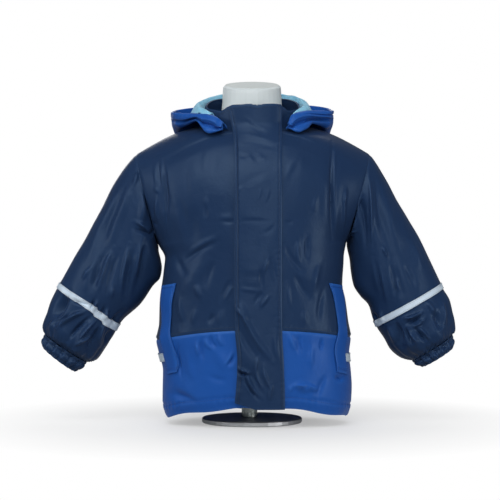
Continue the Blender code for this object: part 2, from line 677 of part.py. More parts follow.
# ---------------------------------------------------------------- the pieces of the coat
def front_panel(side, first_row, last_row, colour):
    rows = range(first_row, last_row + 1)
    shares = [c / PANEL_COLUMNS for c in range(PANEL_COLUMNS + 1)]
    points = [body_point(side, row, share, True) for row in rows for share in shares]
    faces = grid_faces(len(rows), len(shares))
    return Surface(points, oriented(points, faces, np.array((0, -1, 0))), CLOTH, colour)


def back_panel(first_row, last_row, colour):
    """The back in one piece: both halves share the centre line as far up as the neck seam."""
    shares = [c / PANEL_COLUMNS for c in range(PANEL_COLUMNS + 1)]
    points = []
    places = {}
    faces = []
    for side in (RIGHT, LEFT):
        index = {}
        for row in range(first_row, last_row + 1):
            for c, share in enumerate(shares):
                point = body_point(side, row, share, False)
                key = (row, 0) if c == 0 and row <= BACK_NECK_ROW else (row, side * (c + 1))
                if key not in places:
                    places[key] = len(points)
                    points.append(point)
                index[(row, c)] = places[key]
        for row in range(first_row, last_row):
            for c in range(PANEL_COLUMNS):
                face = (index[(row, c)], index[(row, c + 1)], index[(row + 1, c + 1)], index[(row + 1, c)])
                faces.append(face if side == LEFT else tuple(reversed(face)))
    first = faces[-1]
    a, b, c, d = (np.array(points[i]) for i in first)
    if np.cross(c - a, d - b) @ np.array((0, 1, 0)) < 0.0:
        faces = [tuple(reversed(face)) for face in faces]
    return Surface(points, faces, CLOTH, colour)


def sleeve(side):
    angles = [360.0 * i / SLEEVE_SIDES for i in range(SLEEVE_SIDES)]
    points = [sleeve_point(side, ring, angle) for ring in SLEEVE_RINGS for angle in angles]
    faces = grid_faces(len(SLEEVE_RINGS), len(angles), closed=True)
    middle = len(SLEEVE_RINGS) // 2 * len(angles)
    a, b, c, d = (points[i] for i in faces[middle])
    if np.cross(c - a, d - b) @ np.array((side, 0.0, 0.0)) < 0.0:
        faces = [tuple(reversed(face)) for face in faces]
    return Surface(points, faces, CLOTH, NAVY)


def cuff(side):
    points = []
    for ring in CUFF_RINGS:
        depth = CUFF_GATHER_DEPTH * min(1.0, ring / CUFF_RINGS[1])
        for i in range(CUFF_SIDES):
            angle = 360.0 * i / CUFF_SIDES
            wave = math.radians(angle * CUFF_GATHERS) + CUFF_GATHER_DRIFT * math.sin(ring)
            points.append(ring_point(CUFF[side], ring, angle, depth * (math.sin(wave) - 1.0)))
    faces = grid_faces(len(CUFF_RINGS), CUFF_SIDES, closed=True)
    a, b, c, d = (points[i] for i in faces[2 * CUFF_SIDES])
    if np.cross(c - a, d - b) @ np.array((side, 0.0, 0.0)) < 0.0:
        faces = [tuple(reversed(face)) for face in faces]
    return Surface(points, faces, CLOTH, NAVY)


def collar_turns():
    """Turns from the right front edge round the back to the left front edge, with their side."""
    right = [(turn, RIGHT) for turn in COLLAR_TURNS]
    left = [(turn, LEFT) for turn in reversed(COLLAR_TURNS)]
    return right + [(180.0, LEFT)] + left


def collar_point(turn, side, height):
    """A point of the collar's outer side; height 0 is the neck seam and 1 the top edge."""
    base = neck_seam(turn, side)
    if turn < 90.0:
        base[0] += (CENTRE_FRONT_X - NECK_CENTRE[0] + side * COLLAR_GAP) * (1.0 - turn / 90.0)
    base[2] += 0.5 * SEAM
    top = base.copy()
    outward = unit(np.array((side * math.sin(math.radians(turn)), -math.cos(math.radians(turn)), 0.0)))
    top += outward * read(COLLAR, "turn", "lean", turn)
    top[2] = read(COLLAR, "turn", "top_z", turn)
    bow = COLLAR_BOW * math.sin(math.pi * height)
    return base + (top - base) * height + outward * bow


def collar():
    turns = collar_turns()
    points = [collar_point(turn, side, height) for height in COLLAR_HEIGHTS for turn, side in turns]
    faces = grid_faces(len(COLLAR_HEIGHTS), len(turns))
    faces = oriented(points, faces, np.array((0, 1, 0)))
    return Surface(points, faces, CLOTH, NAVY)


def flap_point(z, across):
    """A point of the storm flap's outer side; across runs from its free edge to its sewn edge."""
    x = blend(read(FLAP, "z", "free_x", z), read(FLAP, "z", "sewn_x", z), across)
    low, high = FLAP_NECK_Z
    proud = LIFT + CLOTH + read(FLAP, "z", "stand_off", z)

    def chest(height):
        side, row, share = row_and_share(x, height)
        return body_point(side, row, share, True)[1]

    def throat():
        aside = (x - 0.8 * CENTRE_FRONT_X) / (NECK_HALF_WIDTH + FLAP_THROAT_CLEAR)
        return NECK_CENTRE[1] - (NECK_HALF_DEPTH + FLAP_THROAT_CLEAR) * math.sqrt(1.0 - aside * aside)

    if z <= low:
        y = chest(z)
    elif z >= high:
        y = throat()
    else:
        share = (z - low) / (high - low)
        below = 6.0
        slope_low = (chest(low) - chest(low - below)) / below
        y = smooth_bridge(chest(low), slope_low, throat(), 0.0, high - low, share)
        y -= FLAP_NECK_BOW * math.sin(math.pi * share)
    return np.array((x, y - proud, z))


def smooth_bridge(start, start_slope, end, end_slope, length, share):
    rest = 1.0 - share
    return ((1.0 + 2.0 * share) * rest * rest * start + share * rest * rest * length * start_slope
            + share * share * (3.0 - 2.0 * share) * end - share * share * rest * length * end_slope)


def storm_flap():
    points = [flap_point(z, share) for z in FLAP_HEIGHTS for share in FLAP_ACROSS]
    faces = grid_faces(len(FLAP_HEIGHTS), len(FLAP_ACROSS))
    return Surface(points, oriented(points, faces, np.array((0, -1, 0))), CLOTH, NAVY)


def pocket_welt(side):
    across = (0.0, 0.5, 1.0)
    points = []
    for row in WELT_ROWS:
        inner = read(POCKET_WELT, "row", "inner", row)
        outer = read(POCKET_WELT, "row", "outer", row)
        for share in across:
            place = blend(inner, outer, share)
            point = body_point(side, row, place, True)
            outward = body_outward(side, row, place, True)
            points.append(point + outward * (WELT_THICKNESS + WELT_LIFT))
    faces = grid_faces(len(WELT_ROWS), len(across))
    outward = np.array((0.5 * side, -1.0, 0.0))
    return Surface(points, oriented(points, faces, outward), WELT_THICKNESS, BLUE)


def sleeve_tape(side):
    points = []
    for ring in SLEEVE_TAPE_RINGS:
        for i in range(SLEEVE_SIDES):
            angle = 360.0 * i / SLEEVE_SIDES
            points.append(sleeve_point(side, ring, angle)
                          + sleeve_outward(side, ring, angle) * (TAPE + SLEEVE_TAPE_LIFT))
    faces = grid_faces(2, SLEEVE_SIDES, closed=True)
    a, b, c, d = (points[i] for i in faces[0])
    if np.cross(c - a, d - b) @ np.array((side, 0.0, 0.0)) < 0.0:
        faces = [tuple(reversed(face)) for face in faces]
    return Surface(points, faces, TAPE, SILVER)


def back_tape():
    """Reflective tape across the lower back, from side seam to side seam."""
    shares = [c / (2 * PANEL_COLUMNS) for c in range(2 * PANEL_COLUMNS + 1)]
    stations = [(RIGHT, share) for share in reversed(shares)] + [(LEFT, share) for share in shares[1:]]
    points = []
    for row in BACK_TAPE_ROWS:
        for side, share in stations:
            outward = body_outward(side, row, share, False)
            points.append(body_point(side, row, share, False) + outward * (TAPE + BACK_TAPE_LIFT))
    faces = grid_faces(2, len(stations))
    return Surface(points, oriented(points, faces, np.array((0, 1, 0))), TAPE, SILVER)


# ---------------------------------------------------------------- the hood
def hood_controls(turn, side):
    """Control points of one section of the hood, from the neck seam to the rim of its mouth."""
    rows = HOOD[side]
    value = {name: read(rows, "turn", name, turn) for name in rows if name != "turn"}
    base = neck_seam(turn, side, grow=HOOD_NECK_CLEAR)
    if turn < 90.0:
        base[0] += (CENTRE_FRONT_X - NECK_CENTRE[0]) * (1.0 - turn / 90.0)
    base[2] = value["base_z"]
    crest = np.array((value["crest_x"], value["crest_y"], value["crest_z"] - CREST_DROP))
    valley = np.array((value["valley_x"], value["valley_y"], value["valley_z"]))
    rim = np.array((value["rim_x"], value["rim_y"], value["rim_z"]))
    out = valley - crest
    out[2] = 0.0
    out = unit(out)
    roomy = min(1.0, np.linalg.norm((valley - crest)[:2]) / ROOMY_REACH)
    half_crest = 0.5 * CREST_WIDTH
    half_bag = 0.5 * BAG_WIDTH * roomy
    return (base,
            base + (crest - base) * 0.55 - out * 0.5 * half_crest,
            crest - out * 0.6 * half_crest,
            crest + out * 1.4 * half_crest,
            crest + (valley - crest) * 0.5 + out * 2.0 * roomy,
            valley - out * half_bag,
            valley + out * half_bag,
            valley + (rim - valley) * 0.55 + out * half_bag * 0.7,
            rim)


def through_controls(controls, at):
    """A point of the smooth curve that the control points pull; it starts and ends on the outer two."""
    before = 2.0 * controls[0] - controls[1]
    after = 2.0 * controls[-1] - controls[-2]
    ends = [before, *controls, after]
    i = min(int(at), len(controls) - 2)
    u = at - i
    a, b, c, d = ends[i:i + 4]
    return ((1.0 - u) ** 3 * a + (3.0 * u ** 3 - 6.0 * u * u + 4.0) * b
            + (1.0 + 3.0 * u + 3.0 * u * u - 3.0 * u ** 3) * c + u ** 3 * d) / 6.0


def hood_stations():
    """Turns from the right front corner round the back to the left front corner."""
    stations = []
    for side in (RIGHT, LEFT):
        first = HOOD[side]["turn"][0]
        turns = [blend(first, 180.0, (i / HOOD_COLUMNS) ** HOOD_SPACING) for i in range(HOOD_COLUMNS + 1)]
        stations += [(turn, side) for turn in (turns if side == RIGHT else reversed(turns[:-1]))]
    return stations


def casing_start(controls, short=0.0):
    """Where on a section the casing begins: its width short of the rim, less in the small front corners."""
    last = len(controls) - 1.0
    rise = np.linalg.norm(controls[-1] - controls[-3])
    width = min(RIM_CASING, RIM_SMALL_SHARE * rise) + short
    at = last
    while np.linalg.norm(through_controls(controls, at) - controls[-1]) < width:
        at -= 0.02
    return at


def hood_surface(stations, thickness, colour, roughness, short=0.0):
    points = []
    for k in range(len(HOOD_STEPS) + 1):
        for turn, side in stations:
            controls = hood_controls(turn, side)
            end = casing_start(controls, short)
            at = min(HOOD_STEPS[k], end - 0.35) if k < len(HOOD_STEPS) else end
            points.append(through_controls(controls, at))
    columns = len(stations)
    faces = grid_faces(len(HOOD_STEPS) + 1, columns)
    a, b, c, d = (points[i] for i in faces[-columns // 2])
    if np.cross(c - a, d - b) @ np.array((0.0, 1.0, 0.0)) < 0.0:
        faces = [tuple(reversed(face)) for face in faces]
    return Surface(points, faces, thickness, colour, roughness)


def build_hood():
    """The blue shell outside, the fleece lining inside it, and the casing along the mouth."""
    shell = hood_surface(hood_stations(), CLOTH, BLUE, 0.5)
    build_wall("hood_shell", shell, {}, inset=0.0)
    lined = [station for station in hood_stations() if station[0] >= LINING_FROM_TURN]
    lining = hood_surface(lined, FLEECE, AQUA, 0.9, LINING_SHORT)
    normals = shared_normals([lining])
    lining.points = [point - offset_of(normals[key_of(point)], CLOTH + SEAM) for point in lining.points]
    build_wall("hood_lining", lining, {}, inset=0.0)
    build_rim()


def build_rim():
    """A flat turned casing along the mouth of the hood, as thick as the two cloths it holds."""
    half = 0.5 * RIM_THICKNESS
    profile = ((0.0, half), (0.7, half), (1.0, 0.35 * half), (1.0, -0.35 * half), (0.7, -half), (0.0, -half))
    stations = hood_stations()
    edges = [through_controls(hood_controls(*station), 8.0) for station in stations]
    points = []
    for i, (turn, side) in enumerate(stations):
        controls = hood_controls(turn, side)
        below = through_controls(controls, casing_start(controls))
        stem = unit(edges[i] - below)
        ahead = unit(edges[min(i + 1, len(edges) - 1)] - edges[max(i - 1, 0)])
        out = unit(np.cross(ahead, stem))
        if out @ (controls[6] - controls[5]) < 0.0:
            out = -out
        foot = below + stem * RIM_FOOT - out * half
        height = np.linalg.norm(edges[i] - below) - RIM_FOOT
        points += [foot + stem * height * rise + out * spread for rise, spread in profile]
    sections = len(profile)
    faces = grid_faces(len(stations), sections, closed=True)
    faces.append(tuple(range(sections)))
    faces.append(tuple(len(points) - 1 - i for i in range(sections)))
    turn_outwards(make_object("hood_rim", points, faces, BLUE, 0.5))


def turn_outwards(made):
    """Turns every face of a closed body outwards."""
    mesh = bmesh.new()
    mesh.from_mesh(made.data)
    bmesh.ops.recalc_face_normals(mesh, faces=mesh.faces)
    if mesh.calc_volume(signed=True) < 0.0:
        bmesh.ops.reverse_faces(mesh, faces=mesh.faces)
    mesh.to_mesh(made.data)
    mesh.free()


# ---------------------------------------------------------------- the form and its stand
def form_ring(z):
    value = {name: read(FORM, "z", name, z) for name in FORM if name != "z"}
    ring = []
    for i in range(FORM_SIDES):
        angle = 2.0 * math.pi * i / FORM_SIDES
        c, s = math.cos(angle), math.sin(angle)
        share = 2.0 / value["power"]
        x = math.copysign(abs(c) ** share, c) * value["half_width"]
        y = math.copysign(abs(s) ** share, s) * value["half_depth"] + value["middle_y"]
        tilt = max(0.0, (z - NECK_TILT_FROM_Z) / (FORM["z"][-1] - NECK_TILT_FROM_Z))
        ring.append(np.array((x, y, z + y * math.tan(NECK_TILT) * tilt)))
    return ring


def build_form():
    levels = list(FORM["z"])
    points = [point for z in levels for point in form_ring(z)]
    faces = grid_faces(len(levels), FORM_SIDES, closed=True)
    faces.append(tuple(reversed(range(FORM_SIDES))))
    faces.append(tuple(len(points) - FORM_SIDES + i for i in range(FORM_SIDES)))
    turn_outwards(make_object("dress_form", points, faces, FORM_WHITE, 0.35))


def build_round(name, x, radius, low, high, edge, colour, roughness, metallic):
    """A turned piece with a small chamfer at both ends."""
    profile = ((low, radius - edge), (low + edge, radius), (high - edge, radius), (high, radius - edge))
    points = []
    for z, size in profile:
        for i in range(ROUND_SIDES):
            angle = 2.0 * math.pi * i / ROUND_SIDES
            points.append(np.array((x + size * math.cos(angle), size * math.sin(angle), z)))
    faces = grid_faces(len(profile), ROUND_SIDES, closed=True)
    faces.append(tuple(reversed(range(ROUND_SIDES))))
    faces.append(tuple(len(points) - ROUND_SIDES + i for i in range(ROUND_SIDES)))
    turn_outwards(make_object(name, points, faces, colour, roughness, metallic))


def build_stand():
    build_round("stand_base", 0.0, BASE_RADIUS, 0.0, BASE_HEIGHT, BASE_CHAMFER, BASE_GREY, 0.4, 0.8)
    build_round("stand_pole", POLE_X, POLE_RADIUS, BASE_HEIGHT + SEAM, FORM["z"][0] - SEAM, POLE_CHAMFER,
                STEEL, 0.25, 1.0)


def build_coat():
    panels = {
        "front_lower_right": front_panel(RIGHT, 0, BLOCK_ROW, BLUE),
        "front_lower_left": front_panel(LEFT, 0, BLOCK_ROW, BLUE),
        "front_upper_right": front_panel(RIGHT, BLOCK_ROW, SHOULDER_ROW, NAVY),
        "front_upper_left": front_panel(LEFT, BLOCK_ROW, SHOULDER_ROW, NAVY),
        "back_lower": back_panel(0, BLOCK_ROW, BLUE),
        "back_upper": back_panel(BLOCK_ROW, SHOULDER_ROW, NAVY),
        "sleeve_right": sleeve(RIGHT),
        "sleeve_left": sleeve(LEFT)}
    normals = shared_normals(panels.values())
    for name, surface in panels.items():
        build_wall(name, surface, normals)
    for side, name in SIDE_NAMES.items():
        build_wall("cuff_" + name, cuff(side), {}, inset=0.0)
        build_wall("pocket_welt_" + name, pocket_welt(side), {}, inset=0.0)
        build_wall("sleeve_tape_" + name, sleeve_tape(side), {}, inset=0.0)
    build_wall("collar", collar(), {})
    build_wall("storm_flap", storm_flap(), {}, inset=0.0)
    build_wall("back_tape", back_tape(), {}, inset=0.0)


def main():
    for old in list(bpy.data.objects):
        bpy.data.objects.remove(old, do_unlink=True)
    build_coat()
    build_hood()
    build_form()
    build_stand()


main()
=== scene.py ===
import math

import bpy
import numpy as np
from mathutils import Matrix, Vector


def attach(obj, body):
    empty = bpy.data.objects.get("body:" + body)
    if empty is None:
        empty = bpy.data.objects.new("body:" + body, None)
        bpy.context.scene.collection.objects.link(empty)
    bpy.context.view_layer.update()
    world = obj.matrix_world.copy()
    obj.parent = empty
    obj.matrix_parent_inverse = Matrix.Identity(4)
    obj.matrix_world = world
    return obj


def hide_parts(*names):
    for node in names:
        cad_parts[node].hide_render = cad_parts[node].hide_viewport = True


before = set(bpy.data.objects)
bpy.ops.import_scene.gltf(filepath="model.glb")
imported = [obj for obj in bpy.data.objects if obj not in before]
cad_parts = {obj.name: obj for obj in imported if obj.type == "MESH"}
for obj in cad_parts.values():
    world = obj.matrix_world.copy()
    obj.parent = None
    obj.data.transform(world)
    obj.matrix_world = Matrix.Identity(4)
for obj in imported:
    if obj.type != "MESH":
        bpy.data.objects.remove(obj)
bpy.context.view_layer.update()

MM = 0.001
FRONT = np.array((0.0, -1.0, 0.0))
LEVEL = (1, 1, 0)           # keeps the level part of a direction

# ---------------------------------------------------------------- sizes
SHELL = 1.3                 # thickness of the panels' cloth as shown
STITCH_LENGTH = 2.7
STITCH_PITCH = 3.5
STITCH_WIDTH = 0.34         # half the thread's width
STITCH_RISE = 0.1           # its middle above the cloth
SWELLS = 7                  # waves that are added up for the cloth's unevenness
SWELL_HEIGHT = 0.42
HEM = 18.5                  # height of the turned hem
HEM_CURL = 4.8              # how far the hem's edge turns inwards
HEM_WAVE = 1.7              # height of the waves along its edge
SEAM_STITCH = 5.5           # stitch line above the seam to the blue panels
FLAP_STITCH = 6             # stitch lines on the flap, from its free and its sewn edge
FLAP_SEWN_STITCH = 5
COLLAR_STITCH = 6
TAPE_STITCH = 1.3
COLLAR_TUCK = 1             # the collar starts this much under the neck seam
BACK_TAPE_REACH = 0.78      # share of the front's width at which the back's tape ends
ROLL_BULGE = 4              # how far the hood's rolled front edge stands out
ROLL_HOLLOW = 9             # depth of the hollow under it
RIM_PINCH = 2.4             # depth of the crease along the left half of the casing
RIM_FLAT = 0.86             # share of the casing's height below its rounded edge
RIM_ROUND = 0.14            # share that its rounded edge takes
RIM_FLAT_ROWS = 13
LINING_GAP = 0.9            # between the hood's shell and its lining
LINING_HOLLOW = 1.2         # how much deeper the lining lies in the bag
LINING_RISE = 7             # and how far it is lifted there
HOOD_TURNS = 140            # turns of the neck that each half of the hood spans
HOOD_FOLD_LENGTH = 300      # its length in the table of folds
HOOD_FOLD_STEP = 20         # length of one section in that table
FLAP_GROOVE = 0.8           # depth of the stitch lines' grooves
FLAP_SEWN_GROOVE = 0.5
FLAP_EDGE_ROUND = 0.7       # how far the flap's free edges are rounded off
FLAP_SEWN_SINK = 1.2        # how far its sewn edge sinks in
CUFF_SMALL_GATHERS = 31
CUFF_SMALL_SHARE = 0.32     # depth of the small gathers, as a share of the large ones'
CUFF_STITCH_RINGS = (0.55, 2.3)     # the casing's two stitch lines
CUFF_GROOVE = 0.9           # depth of their grooves
CUFF_PUFF = 0.8             # how far the casing swells between them
CLOTH = 1.6                 # thickness of the flap's solid
TAPE = 1                    # thickness of the tapes' solids
LIFT = 0.35                 # gap under a solid that lies on a panel
FLAP_PROUD = 0.5            # the flap stands off this much more than its solid

# Grids of the cloth's points. The panels': rows for each body row, and columns. The others': columns, rows.
FRONT_GRID = (8.4, 116)
BACK_GRID = (7.4, 92)
SLEEVE_GRID = (180, 170)
SLEEVE_TAPE_GRID = (240, 9)
CUFF_GRID = (216, 26)
COLLAR_GRID = (90, 18)
FLAP_GRID = (60, 204)
WELT_GRID = (13, 66)
BACK_TAPE_GRID = (88, 20, 7)    # columns on each half of the back and round each side, and rows
HOOD_GRID = (84, 96)            # columns on each half
LINING_COLUMNS = 74
RIM_COLUMNS = 130
HOOD_UP_ROW = 70                # from this row the hood's cloth surely faces away from its crest

CENTRE_FRONT_X = 7.7        # where the two fronts meet
CENTRE_BACK_X = 5
FLAP_HIDES = (-25, 49)      # between these the flap covers the fronts' seams
NECK_HALF_WIDTH = 74        # neck seam
NECK_HALF_DEPTH = 61
NECK_CENTRE = (1, -1)
NECK_FRONT_Z = 461
NECK_SIDE_Z = 472
NECK_BACK_Z = 482

BLOCK_ROW = 5               # seam between the navy and the blue panels
ARMPIT_ROW = 12
SHOULDER_ROW = 24
FRONT_NECK_ROW = 20         # row at which the centre front meets the neck seam
BACK_NECK_ROW = 21

BOW_OUT = (0.66, 0.36)      # how far a body row runs straight out from the centre line: low down, shoulder
BOW_IN = (0.62, 0.36)       # how far it runs straight into the side seam or the armhole
SIDE_LEAN = math.radians(5)     # the side seams lie in a slight hollow
SIDE_LEAN_ROWS = 3          # the hollow runs out over this many rows below the armpit
CENTRE_SWING_ROWS = 3       # the centre back swings to the neck's middle over this many rows
SHOULDER_RIDGE = 1.7        # how sharply the shoulder drops towards the armhole
FOLD_END = 0.06             # what is left of a fold at its two ends

RIGHT = -1
LEFT = 1
SIDE_NAMES = {RIGHT: "right", LEFT: "left"}


def rows_of(text):
    """The words of each line; a line with # is a comment."""
    return [line.split() for line in text.splitlines() if line and "#" not in line]


def table(names, text):
    """A table of sections or folds: one array for each named column."""
    return dict(zip(names.split(), np.array(rows_of(text), float).T))


# Centre lines and side seams, from the hem (row 0) upwards.
CENTRE_FRONT = table("row y z", """
0 -113 32
5 -108.5 152
12 -105.5 290
15 -103 352
17 -97 396
19 -79 440
20 -62 461""")
CENTRE_BACK = table("row y z", """
0 101 14
5 97 134
12 92 290
16 94 372
19 87 432
20 77 458
21 60 482""")
SIDE_SEAM = {
    RIGHT: table("row x y z", """
0 -140 -18 11.5
1 -142 -18 36
3 -141.5 -18 84
4 -147.5 -18 110
5 -152 -18 133.5
6 -148 -17 157
8 -146.5 -15 197
10 -141 -12 240
11 -138.5 -9 262
12 -149.5 -2 283"""),
    LEFT: table("row x y z", """
0 155.5 -18 12
2 158.5 -18 60
3 157 -18 84
4 154 -18 110
5 157 -18 138
6 153 -17 162
8 148 -15 199
9 144 -14 219
11 145.8 -9 263
12 150.5 -2 286""")}

# Sleeve rings from the armhole to the cuff: the outer and the inner side, and the depth front to back.
RING_NAMES = "ring outer_x outer_z inner_x inner_z depth middle_y"
SLEEVE = {
    RIGHT: table(RING_NAMES, """
0 -185.6 427.5 -149.5 283 96 -2
1 -201.6 409 -149.3 274 98 -2
2 -217.6 385.6 -146 260 98 -3
3 -233 356.5 -143.8 246 96 -4
4 -249 324.5 -147 231 94 -5
5 -265.6 294 -158.5 217.5 92 -6
6 -284.8 260.8 -178 189 92 -8
7 -304.8 224.5 -205.5 164.5 92 -9
8 -311 213.6 -214.5 151 92 -10
9 -322 188.8 -224 135 94 -11
10 -328.5 167.5 -236 118 94 -12
11 -331 152 -250 100.5 84 -13
12 -329.6 142.5 -262 97 60 -14"""),
    LEFT: table(RING_NAMES, """
0 188.5 427.5 150.5 286 96 -2
1 201.5 409 153 274 98 -2
2 216 384 156 259 98 -3
3 230.5 356 157.5 244.5 96 -4
4 246.5 329 162 219 94 -5
5 262.5 302 173 202 92 -6
6 280.5 266.5 186 187 92 -8
7 299.5 224 193 164.5 92 -9
8 305 212.5 199 152.5 92 -10
9 315.8 193 209.5 136 94 -11
10 320.5 166 222 117 94 -12
11 321.5 150 236 106 84 -13
12 319 141 254 99 60 -14""")}
SLEEVE_TAPE_RINGS = (7.08, 7.86)

# Cuff casings: elastic gathers them, and they end in an open mouth.
CUFF = {
    RIGHT: table(RING_NAMES, """
0 -329.8 141.5 -262.8 96.5 59.6 -14
1 -334 132 -266.5 90 62 -15
2 -334.5 127 -272.5 85.5 60 -16
3 -332.5 121 -281.5 82 54 -17"""),
    LEFT: table(RING_NAMES, """
0 319.1 140.1 254.7 98.5 59.6 -14
1 321.5 131 259 93 62 -15
2 321.5 126 264.5 91 60 -16
3 319.5 120 271 89.5 54 -17""")}
CUFF_GATHERS = 15
CUFF_GATHER_DEPTH = 1.5
CUFF_GATHER_DRIFT = 1.1     # how far the gathers wander round the cuff on their way down

# The storm flap, from the hem to the top of the collar: its two edges and how far it stands off.
FLAP = table("z free_x sewn_x stand_off", """
35.6 -26.6 50.6 1
66 -24 50.2 1.4
84 -23 49.4 1.7
104 -22.8 48.8 1.6
152 -26.2 46.4 0.8
230 -27.4 46 0.6
330 -27.6 46.2 0.7
400 -28 46.4 1.2
452 -29 47 0.8
474 -33 47.8 0.6
490 -36 47.8 0.4
502.5 -38.6 46.8 0.4""")
FLAP_NECK_Z = (436, 474)    # between these heights the flap bridges from the chest to the collar
FLAP_THROAT_CLEAR = 3.1     # room between the collar and the flap in front of it
FLAP_NECK_BOW = 1.6         # how far it bows out on that bridge

# Pocket welts on each front, by body row and by share of the way to the side seam.
POCKET_WELT = table("row inner outer", """
2.75 0.6 0.775
4.2 0.59 0.77
6 0.64 0.81
7.6 0.625 0.84
9 0.59 0.875""")

# Gaps under the tapes' solids.
SLEEVE_TAPE_LIFT = 1.5 * LIFT
BACK_TAPE_LIFT = 2.4 * LIFT
BACK_TAPE_ROWS = (3.55, 4.05)  # reflective tape across the lower back

# Collar: height of its top edge round the neck, by turn from the centre front (0) to the back (180).
COLLAR = table("turn top_z lean", """
0 502.5 0.5
27 503 0
36 500 0
46 494.5 0
60 497 0.5
82 502.5 1.5
95 508.5 1.5
106 513.5 0.5
118 517.5 -1
135 521 -2
180 525 -2""")
COLLAR_BOW = 1.2            # how far the collar bows out at half its height
COLLAR_GAP = 0.7            # half the gap between the collar's two front ends

# The hood, dropped back. Each section leaves the neck seam outside the collar, goes up over a crest,
# down into the bag and up again to the rim of the mouth.
HOOD_NAMES = "turn base_z crest_x crest_y crest_z valley_x valley_y valley_z rim_x rim_y rim_z"
HOOD = {
    RIGHT: table(HOOD_NAMES, """
34 465 -44 -62 475 -48 -72 461 -46 -71 475
44 467 -55 -54 485 -63 -68 457 -57.5 -67 484
54 469 -68 -44 492 -75 -60 462 -69 -60 488
66 471 -78 -30 499 -88 -40 478 -87 -49 489.5
80 475 -84 -13 504 -102 -14 473 -108 -28 491
95 478 -85 6 509.5 -115 10 471 -124.5 -6 494.5
110 481 -80 25 515.5 -120 42 463 -131 20 498
130 484 -67 47 524.5 -100 90 415 -128 68 504
155 486 -36 66 531.5 -54 114 372 -80 118 513.5
180 487 1 72 533.5 2 119 358 2 137 511"""),
    LEFT: table(HOOD_NAMES, """
42 466 56 -56 476 58 -67 464 57 -66 477
50 468 64 -49 486 70 -62 460 62 -61.5 486.5
58 470 70 -41 494 83 -54 463 70 -56 491
68 472 79 -28 500.5 94 -36 474 88 -45 495
80 475 84.5 -13 505.5 106 -14 473 108 -27 496
95 478 84.5 6 509.5 118 10 471 126 -6 497
110 481 82 25 516.5 122 42 463 131.5 20 500
130 484 68 47 525.5 102 90 415 129 68 507
155 486 38 66 532 56 114 372 82 118 517
180 487 1 72 533.5 2 119 358 2 137 511""")}
LINING_FROM_TURN = 50       # the fleece starts in the hood's front corners
LINING_SHORT = 2.2          # the fleece ends this much below the casing
HOOD_NECK_CLEAR = 5.3       # from the neck seam to the outside of the hood's foot
CREST_WIDTH = 5             # between the two layers at the fold over the neck
CREST_DROP = CLOTH + 1      # the fold's control point lies this much under the table's crest
BAG_WIDTH = 16              # across the bottom of the bag
ROOMY_REACH = 26            # a section that reaches out this far has the bag's full width
RIM_CASING = 13             # width of the turned casing at the hood's mouth
RIM_SMALL_SHARE = 0.56      # in the small front corners it takes this share of the section's rise
RIM_THICKNESS = 3.4
RIM_FOOT = 0.15             # the casing starts this much above the cloth that it is sewn to

# Folds of the body as the solids have them, then the finer creases. A positive rise is a ridge and a
# negative one a trough; skew makes one flank steeper, and bend is how far the middle swings aside.
FOLD_NAMES = "x0 z0 x1 z1 rise width skew bend"
FRONT_FOLDS = table(FOLD_NAMES, """
-118 345 -104 280 1.8 9 0 0
-96 350 -88 270 -1.3 9 0 0
-140 400 -132 330 -4 8 0 0
-62 270 -118 205 2.2 12 0 0
-60 130 -36 85 2.4 9 0 0
-128 60 -96 34 -3 9 0 0
127 430 124 300 -3.6 7 0 0
112 400 116 300 1.4 9 0 0
82 425 70 402 0.9 7 0 0
60 250 112 215 2 12 0 0
60 66 100 60 3 7 0 0
-24 196 -4 166 2 7 0 0
-20 100 14 66 -2.6 8 0 0""")
BACK_FOLDS = table(FOLD_NAMES, """
-112 400 -104 300 -3.4 9 0 0
114 400 104 296 -3.4 9 0 0
-84 300 -40 250 2.4 12 0 0
92 280 40 236 2.6 12 0 0
-110 210 -60 190 2.2 10 0 0
60 176 112 200 2 10 0 0
-70 110 -52 40 3 12 0 0
8 100 12 30 -2.6 12 0 0
84 108 74 36 3 12 0 0""")
